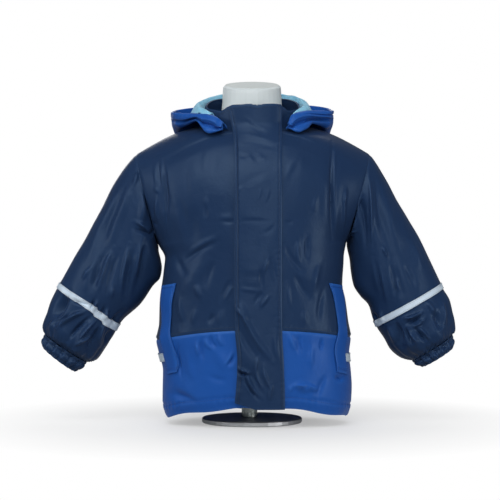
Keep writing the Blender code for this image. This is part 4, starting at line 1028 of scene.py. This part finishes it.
def stitched(name, material, lines):
    """One object with all the stitches along a list of lines; a line is its points and directions."""
    model, model_faces = stitch_model()
    blocks = []
    for path, normals in lines:
        run = running(path[:, None], 0)[:, 0]
        count = max(int(run[-1] / STITCH_PITCH), 1)
        at = (np.arange(count) + 0.5) * run[-1] / count
        place, before, after, outward = (
            np.stack([np.interp(where, run, values[:, i]) for i in range(3)], -1)
            for where, values in ((at, path), (at - 1, path), (at + 1, path), (at, normals)))
        outward = unit(outward)
        ahead = unit(after - before)
        aside = unit(np.cross(outward, ahead))
        blocks.append((place + outward * STITCH_RISE)[:, None] + model[None, :, :1] * aside[:, None]
                      + model[None, :, 1:2] * outward[:, None] + model[None, :, 2:] * ahead[:, None])
    points = np.concatenate(blocks).reshape(-1, 3)
    faces = [tuple(index + start for index in face)
             for start in range(0, len(points), len(model)) for face in model_faces]
    piece = mesh_object(name, points, faces, material)
    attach(piece, "root")


# ---------------------------------------------------------------- the coat's panels
def panel(side, front, first_row, last_row):
    """One half of the front or of the back, between two body rows."""
    density, columns = FRONT_GRID if front else BACK_GRID
    rows = np.linspace(first_row, last_row, int((last_row - first_row) * density) + 1)[:, None]
    shares = np.linspace(0, 1, columns)[None]
    facing = FRONT if front else -FRONT
    return Cloth(shell(side, rows, shares, front), facing + np.array((0.4 * side, 0, 0)))


def upper_panel(side, front, seed):
    """A navy panel, with the raised and stitched allowance above its lower seam."""
    cloth = panel(side, front, BLOCK_ROW, SHOULDER_ROW)
    up = cloth.distance("bottom")
    cloth.raise_by(0.6 * (1 - ease(up, 5, 7)) - 0.4 * bell(up, 1, SEAM_STITCH) - 1.7 * bell(up, 1.5))
    cloth.pucker("bottom", SEAM_STITCH, 0.25, 9, 5, seed)
    return cloth


def lower_panel(side, front, seed):
    """A blue panel, with a turned and stitched hem along its lower edge."""
    cloth = panel(side, front, 0, BLOCK_ROW)
    up = cloth.distance("bottom")
    along = cloth.along("bottom")
    band = 0.45 * (1 - ease(up, HEM - 1.5, HEM + 0.8))
    groove = -2.2 * bell(up, 1.9, HEM)
    edge = -0.9 * bell(up, 1.5)
    sway = 0.9 * np.sin(along / 23 + seed) * bell(up, 16)
    curl = -HEM_CURL * np.clip(1 - up / HEM, 0, 1)
    cloth.raise_by(band + groove + edge + sway + curl)
    inside = ease(cloth.distance("start"), 0, 24) * ease(cloth.distance("end"), 0, 24)
    cloth.lift_by(HEM_WAVE * inside * np.sin(along / 17 + 2 * seed) * bell(up, 12))
    cloth.pucker("bottom", HEM - 2, 0.45, 10.5, 5, seed)
    cloth.sink_edges("end")
    cloth.sink_edges("top", depth=1.5, width=1.6)
    return cloth


def build_fronts():
    for side, word in SIDE_NAMES.items():
        upper = upper_panel(side, True, 40 + side)
        upper.sink_edges("start", "end")
        upper.sink_edges("top", depth=0.3, width=1.8)
        make_sheet("front_upper_" + word, upper)
        make_sheet("front_lower_" + word, lower_panel(side, True, 20 + side))


def build_back():
    uppers = [upper_panel(side, False, 44) for side in SIDE_NAMES]
    for upper in uppers:
        upper.sink_edges("end", "top")
        rows = np.linspace(BLOCK_ROW, SHOULDER_ROW, len(upper.points))[:, None]
        upper.raise_by(-0.9 * bell(upper.distance("start"), 2.2) * ease(rows, 20.6, 21.4))
    make_sheet("back_upper", *uppers)
    make_sheet("back_lower", *(lower_panel(side, False, 24) for side in SIDE_NAMES))


def sleeve_grid(side, first_ring, last_ring, grid, lift=0, steps=()):
    columns, rows = grid
    angles = (360 * np.arange(columns) / columns)[None]
    angles = angles + 22 * np.cos(np.radians(angles))
    rings = np.linspace(first_ring, last_ring, rows)[:, None] + np.zeros(angles.shape)
    for angle, shift in steps:
        rings = rings + shift * (ease(angles, angle - 3, angle + 3) - ease(angles, 170, 300))
    cloth = Cloth(sleeve_shell(side, rings, angles), 0, closed=True)
    cloth.face(cloth.points - ring_middle(SLEEVE[side], rings))
    cloth.raise_by(lift)
    return cloth


def build_sleeves():
    for side, word in SIDE_NAMES.items():
        cloth = sleeve_grid(side, 0, 12, SLEEVE_GRID)
        cloth.pucker("top", 0, 1, 9, 11, 61 + side)
        cloth.sink_edges("bottom", depth=1, width=2.4)
        cloth.sink_edges("top", depth=0.8, width=2)
        make_sheet("sleeve_" + word, cloth)
        make_sheet("sleeve_tape_" + word, sleeve_grid(side, *SLEEVE_TAPE_RINGS, SLEEVE_TAPE_GRID,
                                                      TAPE + SLEEVE_TAPE_LIFT, TAPE_STEPS[side]))


def build_cuffs():
    """Elastic gathers a cuff evenly, and two stitched rows hold the elastic."""
    columns, rows = CUFF_GRID
    for side, word in SIDE_NAMES.items():
        rings = np.linspace(0, 3, rows)[:, None]
        angles = (360 * np.arange(columns) / columns)[None]
        around = np.radians(angles)
        wave = around * CUFF_GATHERS + CUFF_GATHER_DRIFT * np.sin(rings)
        fine = around * CUFF_SMALL_GATHERS + 0.9 * np.sin(3 * around + side) + 0.5 * rings
        depth = CUFF_GATHER_DEPTH * np.minimum(1, rings / 0.4)
        height = depth * (np.sin(wave + 0.5 * np.sin(2 * around)) - 1)
        height += CUFF_SMALL_SHARE * depth * np.sin(fine)
        height -= CUFF_GROOVE * sum(bell(rings, 0.16, ring) for ring in CUFF_STITCH_RINGS)
        height += CUFF_PUFF * bell(rings, 0.5, 1.4)
        points = ring_point(CUFF[side], rings, angles, height)
        make_sheet("cuff_" + word, Cloth(points, points - ring_middle(CUFF[side], rings), closed=True))


def build_collar():
    columns, rows = COLLAR_GRID
    turns = np.concatenate((np.linspace(0, 180, columns), np.linspace(180, 0, columns)[1:]))[None]
    side = np.where(np.arange(2 * columns - 1) < columns, RIGHT, LEFT)[None]
    height = np.linspace(0, 1, rows)[:, None]
    turns, side, height = np.broadcast_arrays(turns, side, height)
    base = neck_seam(turns, side)
    base[..., 0] += front_shift(turns, side * COLLAR_GAP)
    base[..., 2] -= COLLAR_TUCK
    angle = np.radians(turns)
    outward = points_of(side * np.sin(angle), -np.cos(angle), 0)
    top = base + outward * read(COLLAR, "turn", "lean", turns)[..., None]
    top[..., 2] = read(COLLAR, "turn", "top_z", turns)
    bow = outward * (COLLAR_BOW * np.sin(np.pi * height))[..., None]
    cloth = Cloth(base + (top - base) * height[..., None] + bow, outward)
    up, down = cloth.distance("bottom"), cloth.distance("top")
    cloth.raise_by(0.5 * unevenness(cloth.along("bottom"), up * 2, 71, 16) * ease(up, 0, 8)
                   - 0.8 * bell(down, 1.6) - 0.4 * bell(down, 1.2, COLLAR_STITCH))
    cloth.sink_edges("bottom", depth=0.3, width=1.8)
    make_sheet("collar", cloth)


def build_flap():
    columns, rows = FLAP_GRID
    z = np.linspace(FLAP["z"][0], FLAP["z"][-1], rows)[:, None]
    across = np.linspace(0, 1, columns)[None]
    x = blend(read(FLAP, "z", "free_x", z), read(FLAP, "z", "sewn_x", z), across)
    level = (z - z[0]) / (z[-1] - z[0])
    z = (z + read(FLAP_ENDS, "share", "hem", across) * (1 - level) ** 6
         + read(FLAP_ENDS, "share", "top", across) * level ** 20)
    low, high = FLAP_NECK_Z
    proud = LIFT + CLOTH + FLAP_PROUD + read(FLAP, "z", "stand_off", z)
    chest = front_y(x, np.minimum(z, low))
    slope = (front_y(x, low) - front_y(x, low - 6)) / 6
    aside = (x - 0.8 * CENTRE_FRONT_X) / (NECK_HALF_WIDTH + FLAP_THROAT_CLEAR)
    throat = NECK_CENTRE[1] - (NECK_HALF_DEPTH + FLAP_THROAT_CLEAR) * np.sqrt(1 - aside * aside)
    u = climb(z, low, high)
    bridge = curve(u, high - low, chest, throat, slope, 0) - FLAP_NECK_BOW * np.sin(np.pi * u)
    cloth = Cloth(points_of(x, np.where(z <= low, chest, bridge) - proud, z), FRONT)
    free, sewn, hem, top = (cloth.distance(edge) for edge in ("start", "end", "bottom", "top"))
    height = folds_at(FLAP_CREASES, x, z) + 0.4 * unevenness(x, z, 81, 22)
    height *= ease(free, 0, 3) * ease(sewn, 0, 6)
    height += 0.8 * (1 - ease(free, FLAP_STITCH - 1.4, FLAP_STITCH + 0.6))
    height -= FLAP_GROOVE * bell(free, 1.1, FLAP_STITCH)
    height -= FLAP_SEWN_GROOVE * bell(sewn, 1.1, FLAP_SEWN_STITCH)
    height -= FLAP_EDGE_ROUND * (bell(free, 1.3) + bell(hem, 1.3) + bell(top, 1.3))
    height -= FLAP_SEWN_SINK * bell(sewn, 1.8)
    cloth.raise_by(height)
    cloth.pucker("start", FLAP_STITCH, 0.22, 9, 5, 83)
    cloth.pucker("end", FLAP_SEWN_STITCH, 0.22, 9, 4.5, 84)
    make_sheet("storm_flap", cloth)


def build_welts():
    columns, rows = WELT_GRID
    row = np.linspace(POCKET_WELT["row"][0], POCKET_WELT["row"][-1], rows)[:, None]
    inner, outer = (read(POCKET_WELT, "row", edge, row) for edge in ("inner", "outer"))
    share = blend(inner, outer, np.linspace(0, 1, columns)[None])
    for side, word in SIDE_NAMES.items():
        cloth = Cloth(shell(side, row, share, True), FRONT + np.array((0.6 * side, 0, 0)))
        near = np.minimum(cloth.distance("start"), cloth.distance("end"))
        tip = np.minimum(cloth.distance("bottom"), cloth.distance("top"))
        cloth.raise_by(2.7 + 0.6 * ease(near, 0, 3) - 0.5 * bell(tip, 1, 6) - 0.8 * bell(tip, 1.6)
                       + 0.35 * unevenness(cloth.points[..., 0], cloth.points[..., 2], 90 + side, 16))
        make_sheet("pocket_welt_" + word, cloth)


def build_back_tape():
    """The tape goes across the back and just round each side seam."""
    across, round_side, rows = BACK_TAPE_GRID
    row = np.linspace(*BACK_TAPE_ROWS, rows)[:, None]
    parts = []
    for side in SIDE_NAMES:
        back = shell(side, row, np.linspace(0, 1, across)[None], False)
        front = shell(side, row, np.linspace(1, BACK_TAPE_REACH, round_side)[None, 1:], True)
        half = np.concatenate((back, front), 1)
        parts.append(half[:, ::-1] if side == RIGHT else half[:, 1:])
    cloth = Cloth(np.concatenate(parts, 1), 0)
    cloth.face((cloth.points - cloth.points.mean((0, 1))) * LEVEL)
    cloth.raise_by(TAPE + BACK_TAPE_LIFT)
    make_sheet("back_tape", cloth)


# ---------------------------------------------------------------- the hood
def hood_controls(turn, side):
    """Control points of the hood's sections, from the neck seam to the rim of its mouth."""
    value = {name: np.where(side == RIGHT, *(read(HOOD[half], "turn", name, turn) for half in SIDE_NAMES))
             for name in HOOD[LEFT]}
    crest, valley, rim = (points_of(*(value[name + "_" + axis] for axis in "xyz"))
                          for name in ("crest", "valley", "rim"))
    crest[..., 2] -= CREST_DROP
    base = neck_seam(turn, side, HOOD_NECK_CLEAR)
    base[..., 0] += front_shift(turn)
    base[..., 2] = value["base_z"]
    out = (valley - crest) * LEVEL
    roomy = np.minimum(1, np.linalg.norm(out, axis=-1) / ROOMY_REACH)[..., None]
    out = unit(out)
    half_crest = 0.5 * CREST_WIDTH
    level = 0.5 - 0.2 * (1 - ease(turn, 96, 130))
    inner = np.stack((level, level, np.full(level.shape, 0.5)), -1)
    half_bag = 0.5 * BAG_WIDTH * roomy
    return np.stack((
        base, base + (crest - base) * 0.55 - out * 0.5 * half_crest, crest - out * 0.6 * half_crest,
        crest + out * 1.4 * half_crest, crest + (valley - crest) * inner + out * 2 * roomy,
        valley - out * half_bag, valley + out * half_bag,
        valley + (rim - valley) * 0.55 + out * half_bag * 0.7, rim))


def through_controls(controls, at):
    """Points of the smooth curves that the control points pull; each starts and ends on its outer two."""
    ends = np.concatenate(([2 * controls[0] - controls[1]], controls, [2 * controls[-1] - controls[-2]]))
    i = np.clip(at.astype(int), 0, len(controls) - 2)
    u = (at - i)[..., None]
    column = np.broadcast_to(np.arange(controls.shape[1]), at.shape)
    a, b, c, d = (ends[i + k, column] for k in range(4))
    return ((1 - u) ** 3 * a + (3 * u ** 3 - 6 * u * u + 4) * b
            + (1 + 3 * u + 3 * u * u - 3 * u ** 3) * c + u ** 3 * d) / 6


def hood_stations(count, first_turn=0):
    """Turns and sides from the right front corner round the back to the left one."""
    turns, sides = [], []
    for side in SIDE_NAMES:
        first = max(HOOD[side]["turn"][0], first_turn)
        row = blend(first, 180, np.linspace(0, 1, count) ** 1.15)
        turns.append(row if side == RIGHT else row[-2::-1])
        sides.append(np.full(len(turns[-1]), side))
    return np.concatenate(turns), np.concatenate(sides)


def bag_rise(controls):
    """Length of each section from the bag's bottom to the rim."""
    return np.linalg.norm(controls[-1] - controls[-3], axis=-1)


def casing_start(controls, short=0):
    """Where on each section the casing begins."""
    width = np.minimum(RIM_CASING, RIM_SMALL_SHARE * bag_rise(controls)) + short
    at = np.arange(4, 8.0001, 0.02)[:, None] * np.ones(controls.shape[1])
    away = np.linalg.norm(through_controls(controls, at) - controls[-1], axis=-1)
    last = len(at) - 1 - np.argmax((away >= width)[::-1], axis=0)
    return at[last, np.arange(controls.shape[1])]


def hood_cloth(turn, side, short=0):
    """The hood's shell, or its lining where it ends this much short of the casing."""
    controls = hood_controls(turn, side)
    casing = casing_start(controls)
    end = casing
    if short:
        end = blend(3.5, casing_start(controls, short), ease(turn, 64, 82))
    at = np.linspace(0, 1, HOOD_GRID[1])[:, None] * end
    cloth = Cloth(through_controls(controls, at), 0)
    outward = np.zeros_like(cloth.points)
    outward[HOOD_UP_ROW:] = unit((controls[5] - controls[2]) * LEVEL)
    cloth.face(outward)
    along = side * (180 - turn) / HOOD_TURNS * HOOD_FOLD_LENGTH * np.ones_like(at)
    down = at * HOOD_FOLD_STEP
    small = ease(bag_rise(controls), 14, 50)
    height = folds_at(HOOD_FOLDS, along, down) * (0.25 + 0.75 * small)
    height += 0.7 * unevenness(along, down, 101, 20) * (0.3 + 0.7 * small)
    height += folds_at(CORNER_FOLDS, along, down)
    under = 1 - ease(np.abs(along), 150, 330) * 0.4
    corner = ease(np.abs(along), 150, 240)
    height -= ROLL_HOLLOW * under * corner * bell(at - casing + 0.2, 0.24)
    height *= ease(at, 0, 1)
    if not short:
        height *= 1 - ease(at, end - 0.12, end)
    cloth.raise_by(height)
    return cloth


def build_hood():
    make_sheet("hood_shell", hood_cloth(*hood_stations(HOOD_GRID[0])))
    turn, side = hood_stations(LINING_COLUMNS, LINING_FROM_TURN)
    lining = hood_cloth(turn, side, LINING_SHORT)
    deep = bell(np.linspace(0, 1, HOOD_GRID[1])[:, None], 0.14, 0.76) * ease(turn, 96, 128)
    lining.raise_by(-(SHELL + LINING_GAP) - LINING_HOLLOW * deep)
    lining.lift_by(LINING_RISE * deep)
    make_sheet("hood_lining", lining)


def build_rim():
    """The turned casing along the hood's mouth: a flat tube with a soft outer edge."""
    turn, side = hood_stations(RIM_COLUMNS)
    first_turn = np.where(side == RIGHT, *(HOOD[half]["turn"][0] for half in SIDE_NAMES))
    controls = hood_controls(turn, side)
    edge = controls[-1]
    below = through_controls(controls, casing_start(controls)[None])[0]
    stem = unit(edge - below)
    ahead = unit(np.gradient(edge, axis=0))
    out = unit(np.cross(ahead, stem))
    out = out * np.where((out * (controls[6] - controls[5])).sum(-1) < 0, -1, 1)[:, None]
    half = 0.5 * RIM_THICKNESS
    roll = ROLL_BULGE * (1 - ease(turn, 76, 106)) * ease(turn, first_turn, first_turn + 8)
    pinch = RIM_PINCH * (side == LEFT) * ease(turn, 58, 72) * (1 - ease(turn, 104, 122))
    tall = np.linalg.norm(edge - below, axis=-1) - RIM_FOOT
    foot = below + stem * RIM_FOOT - out * half
    flat = np.linspace(0, RIM_FLAT, RIM_FLAT_ROWS)
    cap = np.radians(np.linspace(-90, 90, 9)[1:-1])
    rise = np.concatenate((flat, RIM_FLAT + RIM_ROUND * np.cos(cap), flat[::-1]))
    spread = np.concatenate((-np.ones_like(flat), np.sin(cap), np.ones_like(flat)))
    groove = 1 - 0.32 * bell(rise, 0.07, 0.12)
    run = running(edge[:, None], 0)[:, 0]
    wave = 0.1 * np.sin(run / 1.7 + 1.1 * np.sin(run / 7)) + 0.1 * np.sin(run / 9)
    puff = 1 + wave[None] * (np.sin(np.pi * np.clip(rise, 0, 1)) ** 0.5)[:, None]
    sway = 0.6 * np.sin(run / 14) + 0.4 * np.sin(run / 6.1 + 1)
    full = ease(rise, 0, 0.16) * (1 - rise ** 3)
    bulge = roll * full[:, None] - pinch * bell(rise, 0.09, 0.42)[:, None]
    points = (foot + (tall * rise[:, None])[..., None] * stem
              + (half * (spread * groove)[:, None] * puff)[..., None] * out
              + (sway * (rise ** 2)[:, None])[..., None] * out
              + (bulge * ease(spread, -0.2, 1)[:, None])[..., None] * out)
    middle = foot + stem * (0.5 * tall)[:, None]
    points = points.transpose(1, 0, 2)
    make_sheet("hood_rim", Cloth(points, points - middle[:, None], closed=True))


# ---------------------------------------------------------------- materials
def srgb(red, green, blue):
    """A colour from its display values, 0 to 255."""
    values = [value / 255 for value in (red, green, blue)]
    return tuple(v / 12.92 if v <= 0.04045 else ((v + 0.055) / 1.055) ** 2.4 for v in values) + (1,)


def darker(colour, share):
    return tuple(value * share for value in colour[:3]) + (1,)


def feed(tree, socket, value):
    """Links an input to another node's output, or gives it a value."""
    if isinstance(value, bpy.types.NodeSocket):
        tree.links.new(value, socket)
    else:
        socket.default_value = value


def put(tree, made, **inputs):
    """Feeds a node's inputs by name, with _ for a space."""
    for name, value in inputs.items():
        feed(tree, made.inputs[name.replace("_", " ")], value)
    return made


def node(tree, kind, **inputs):
    return put(tree, tree.nodes.new("ShaderNode" + kind), **inputs)


def mixed(tree, share, first, second):
    made = tree.nodes.new("ShaderNodeMix")
    made.data_type = "RGBA"
    for index, value in ((0, share), (6, first), (7, second)):
        feed(tree, made.inputs[index], value)
    return made.outputs[2]


def blended(tree, share, first, second):
    made = node(tree, "MixShader", Fac=share)
    feed(tree, made.inputs[1], first.outputs[0])
    feed(tree, made.inputs[2], second.outputs[0])
    return made.outputs["Shader"]


def scaled(tree, value, low=0, high=1, **limits):
    """A value brought to the range low to high, from 0 to 1 or from the limits given."""
    return node(tree, "MapRange", Value=value, To_Min=low, To_Max=high, **limits).outputs["Result"]


def own_place(tree):
    """Places on the piece, in its own coordinates."""
    return node(tree, "TexCoord").outputs["Object"]


def noise(tree, place, scale, detail, **more):
    return node(tree, "TexNoise", Vector=place, Scale=scale, Detail=detail, **more).outputs["Fac"]


def bump(tree, height, strength, distance, **under):
    return node(tree, "Bump", Strength=strength, Distance=distance, Height=height, **under).outputs["Normal"]


def coated_cloth_group():
    """Coated rain cloth: a fine grain, small crinkles, a slow change of shade and gloss, and a lighter colour
    on sharp ridges.
    """
    tree = bpy.data.node_groups.new("coated cloth", "ShaderNodeTree")
    for label, kind in (("Shade", "Float"), ("Gloss", "Float"), ("Wear", "Float"), ("Normal", "Vector")):
        tree.interface.new_socket(label, in_out="OUTPUT", socket_type="NodeSocket" + kind)
    out = tree.nodes.new("NodeGroupOutput")
    place = own_place(tree)
    dimpled = bump(tree, noise(tree, place, 42, 2), 0.18, 0.003)
    crinkle = noise(tree, place, 130, 3, Roughness=0.55, Distortion=0.6)
    crinkled = bump(tree, crinkle, 0.3, 0.0009, Normal=dimpled)
    grained = bump(tree, noise(tree, place, 1500, 1), 0.12, 0.0002, Normal=crinkled)
    # how sharp the surface is: the colour turns lighter on sharp ridges and fold crests
    point = node(tree, "NewGeometry").outputs["Pointiness"]
    put(tree, out, Shade=noise(tree, place, 11, 3), Gloss=noise(tree, place, 60, 4),
        Wear=scaled(tree, point, From_Min=0.505, From_Max=0.56), Normal=grained)
    return tree


def new_material(name):
    """A material, its node tree and its Principled shader."""
    material = bpy.data.materials.new(name)
    material.use_nodes = True
    return material, material.node_tree, material.node_tree.nodes["Principled BSDF"]


def coated_cloth(name, effect, dark, light, ridge_colour, roughness):
    material, tree, shader = new_material(name)
    used = tree.nodes.new("ShaderNodeGroup")
    used.node_tree = effect
    shade, gloss, ridging, normal = used.outputs
    base = mixed(tree, scaled(tree, shade, 0.1, 0.9), dark, light)
    # lighter colour where the cloth forms sharp ridges
    base = mixed(tree, scaled(tree, ridging, 0, 0.35), base, ridge_colour)
    put(tree, shader, Base_Color=base, Roughness=scaled(tree, gloss, roughness - 0.06, roughness + 0.06),
        Normal=normal, Specular_IOR_Level=0.2, Specular_Tint=(0.55, 0.78, 1, 1), Sheen_Weight=0.02,
        Sheen_Roughness=0.5)
    return material


def fleece_material():
    material, tree, shader = new_material("aqua fleece")
    place = own_place(tree)
    clumps = noise(tree, place, 90, 2)
    low = bump(tree, clumps, 0.5, 0.002)
    high = bump(tree, noise(tree, place, 420, 4, Roughness=0.7), 0.7, 0.0012, Normal=low)
    put(tree, shader, Base_Color=mixed(tree, clumps, srgb(108, 178, 212), srgb(158, 214, 236)), Normal=high,
        Roughness=0.95, Sheen_Weight=0.25, Sheen_Roughness=0.35)
    return material


def tape_material():
    material, tree, shader = new_material("reflective tape")
    place = own_place(tree)
    beads = node(tree, "TexVoronoi", Vector=place, Scale=1600).outputs["Distance"]
    scuffs = noise(tree, place, 70, 5)
    put(tree, shader, Base_Color=mixed(tree, scuffs, srgb(192, 210, 228), srgb(214, 228, 240)), Metallic=0.1,
        Roughness=scaled(tree, scuffs, 0.42, 0.6), Normal=bump(tree, beads, 0.25, 0.0002))
    return material


def thread_material(name, colour):
    material, tree, shader = new_material(name)
    twist = noise(tree, own_place(tree), 2500, 1)
    put(tree, shader, Base_Color=mixed(tree, twist, darker(colour, 0.75), colour), Roughness=0.6,
        Normal=bump(tree, twist, 0.4, 0.0002))
    return material


def form_material():
    """White moulded plastic with a faint orange peel; the flat top of the neck, where it faces up, is painted
    a little darker and warmer, as painted shade.
    """
    material, tree, shader = new_material("form plastic")
    place = own_place(tree)
    facing = node(tree, "NewGeometry").outputs["Normal"]
    up, height = (node(tree, "SeparateXYZ", Vector=vector).outputs["Z"] for vector in (facing, place))
    # mask of the neck's flat top, by up-facing normal and height: where the painted shade goes
    cap = node(tree, "Math")
    cap.operation = "MULTIPLY"
    feed(tree, cap.inputs[0], scaled(tree, up, From_Min=0.75, From_Max=0.93))
    feed(tree, cap.inputs[1], scaled(tree, height, From_Min=0.52, From_Max=0.525))
    shade = noise(tree, place, 16, 3)
    base = mixed(tree, shade, srgb(206, 215, 217), srgb(216, 224, 226))
    # painted shade on the neck's flat top: a slightly darker, less blue colour
    base = mixed(tree, cap.outputs["Value"], base, srgb(206, 213, 212))
    peel = bump(tree, noise(tree, place, 300, 2), 0.08, 0.0004)
    put(tree, shader, Base_Color=base, Roughness=scaled(tree, shade, 0.42, 0.55), Normal=peel)
    return material


def steel_material(name, colour, roughness, turned):
    """Steel: drawn lengthways on the tube, turned in rings on the base."""
    material, tree, shader = new_material(name)
    place = own_place(tree)
    if turned:
        rings = node(tree, "TexWave", Vector=place, Scale=260, Distortion=0.6, Detail=2)
        rings.wave_type = "RINGS"
        rings.rings_direction = "Z"
        lines = rings.outputs["Fac"]
    else:
        stretched = node(tree, "Mapping", Vector=place, Scale=(900, 900, 14)).outputs["Vector"]
        lines = noise(tree, stretched, 1, 3)
    smudge = noise(tree, place, 38, 4)
    colour = mixed(tree, smudge, darker(colour, 0.82), colour)
    gloss = scaled(tree, smudge, roughness - 0.05, roughness + 0.07)
    put(tree, shader, Base_Color=colour, Metallic=1, Roughness=gloss, Normal=bump(tree, lines, 0.1, 0.0001))
    return material


# ---------------------------------------------------------------- sewing lines
def sew():
    """Stitches along every seam; on the fronts they stop at the flap's two edges."""
    lines = {"navy": [], "blue": [], "grey": []}

    def seams(colour, name, edge, *distances):
        for distance in distances:
            for cloth in CLOTHS[name]:
                points, normals = cloth.line(edge, distance)
                x = points[:, 0]
                seen = (x < FLAP_HIDES[0]) | (x > FLAP_HIDES[1]) | ("front" not in name)
                lines[colour].append((points[seen], normals[seen]))

    seams("navy", "storm_flap", "start", FLAP_STITCH, 1.8)
    seams("navy", "storm_flap", "end", FLAP_SEWN_STITCH)
    seams("navy", "storm_flap", "top", 5)
    seams("navy", "collar", "top", COLLAR_STITCH)
    seams("navy", "back_upper", "bottom", SEAM_STITCH)
    seams("blue", "back_lower", "bottom", HEM)
    for word in SIDE_NAMES.values():
        seams("navy", "front_upper_" + word, "bottom", SEAM_STITCH)
        seams("blue", "front_lower_" + word, "bottom", HEM)
        for edge, distances in (("start", (2,)), ("end", (2,)), ("bottom", (5, 7.5)), ("top", (5,))):
            seams("blue", "pocket_welt_" + word, edge, *distances)
        seams("navy", "cuff_" + word, "bottom", 2.4)
        seams("navy", "cuff_" + word, "top", 4.5)
    for name in ("sleeve_tape_right", "sleeve_tape_left", "back_tape"):
        for edge in ("bottom", "top"):
            seams("grey", name, edge, TAPE_STITCH)
    seams("blue", "hood_shell", "top", 1.5)
    for colour, name, slot, shade in (("navy", "navy", "navy_cloth", (30, 46, 72)),
                                      ("blue", "blue", "blue_cloth", (24, 66, 138)),
                                      ("grey", "tape", "reflective_tape", (150, 158, 166))):
        stitched(name + "_stitching", thread_material(colour + " thread", srgb(*shade)), lines[colour])


# ---------------------------------------------------------------- studio
def soft_light(name, place, target_z, size, power, spread=180):
    light = bpy.data.lights.new(name, "AREA")
    light.shape = "RECTANGLE"
    light.size, light.size_y = size
    light.energy = power
    light.spread = math.radians(spread)
    lamp = bpy.data.objects.new(name, light)
    lamp.location = place
    lamp.rotation_euler = (Vector((0, 0, target_z)) - Vector(place)).to_track_quat("-Z", "Y").to_euler()
    bpy.context.scene.collection.objects.link(lamp)


def studio():
    """A white room: a pale floor that runs out into white, and large soft lights."""
    bpy.ops.mesh.primitive_circle_add(vertices=96, radius=9, fill_type="NGON", location=(0, 0, 0))
    floor = bpy.context.object
    floor.name = "studio_floor"
    material, tree, shader = new_material("studio floor")
    put(tree, shader, Base_Color=(0.86, 0.87, 0.88, 1), Roughness=0.7)
    away = node(tree, "VectorMath", Vector=own_place(tree))
    away.operation = "LENGTH"
    seen = node(tree, "LightPath").outputs["Is Camera Ray"]
    white = node(tree, "Emission", Strength=scaled(tree, seen, 0.18))
    far = scaled(tree, away.outputs["Value"], 0.35, From_Min=0.06, From_Max=0.5)
    feed(tree, tree.nodes["Material Output"].inputs["Surface"], blended(tree, far, shader, white))
    floor.data.materials.append(material)

    world = bpy.data.worlds.new("white room")
    bpy.context.scene.world = world
    world.use_nodes = True
    tree = world.node_tree
    behind = put(tree, tree.nodes["Background"], Color=(1, 1, 1, 1), Strength=1)
    around = node(tree, "Background", Color=(0.9, 0.95, 1, 1), Strength=0.13)
    seen = node(tree, "LightPath").outputs["Is Camera Ray"]
    feed(tree, tree.nodes["World Output"].inputs["Surface"], blended(tree, seen, around, behind))

    soft_light("key", (-0.25, -1.2, 1.32), 0.38, (1.9, 1.2), 5.4, 75)
    soft_light("fill", (0.25, -2.3, 0.55), 0.28, (0.7, 0.4), 4.2)
    soft_light("left side", (-1.5, -0.8, 0.75), 0.3, (0.6, 1), 6)
    soft_light("right side", (1.4, -0.9, 0.3), 0.15, (0.6, 0.6), 6)
    soft_light("top", (0.3, 1.2, 2.4), 0.3, (1.4, 1), 8)
    soft_light("rear", (-0.5, 2.2, 1), 0.25, (1.4, 1), 9)


def camera():
    lens = bpy.data.cameras.new("camera")
    lens.lens = 117
    lens.sensor_width = 36
    eye = bpy.data.objects.new("camera", lens)
    eye.location = (-0.0032, -2.6, 0.2752)
    eye.rotation_euler = (math.radians(90), 0, 0)
    bpy.context.scene.collection.objects.link(eye)
    bpy.context.scene.camera = eye
    bpy.context.scene.view_settings.view_transform = "Standard"


# ---------------------------------------------------------------- all of it
def main():
    camera()
    effect = coated_cloth_group()
    # each cloth's last colour is the lighter one that its sharp ridges get
    FINISHES["navy_cloth"] = coated_cloth("navy cloth", effect, srgb(25, 45, 77), srgb(32, 54, 88),
                                          srgb(46, 70, 106), 0.36)
    FINISHES["blue_cloth"] = coated_cloth("blue cloth", effect, srgb(26, 76, 156), srgb(34, 88, 170),
                                          srgb(54, 108, 188), 0.38)
    FINISHES["reflective_tape"] = tape_material()
    FINISHES["fleece"] = fleece_material()
    for build in (build_fronts, build_back, build_sleeves, build_cuffs, build_collar, build_flap, build_welts,
                  build_back_tape, build_hood, build_rim, sew):
        build()
    for name, material in (("dress_form", form_material()),
                           ("stand_pole", steel_material("pole steel", srgb(182, 190, 187), 0.26, False)),
                           ("stand_base", steel_material("base steel", srgb(214, 216, 218), 0.42, True))):
        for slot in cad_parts[name].material_slots:
            slot.material = material
    studio()


main()
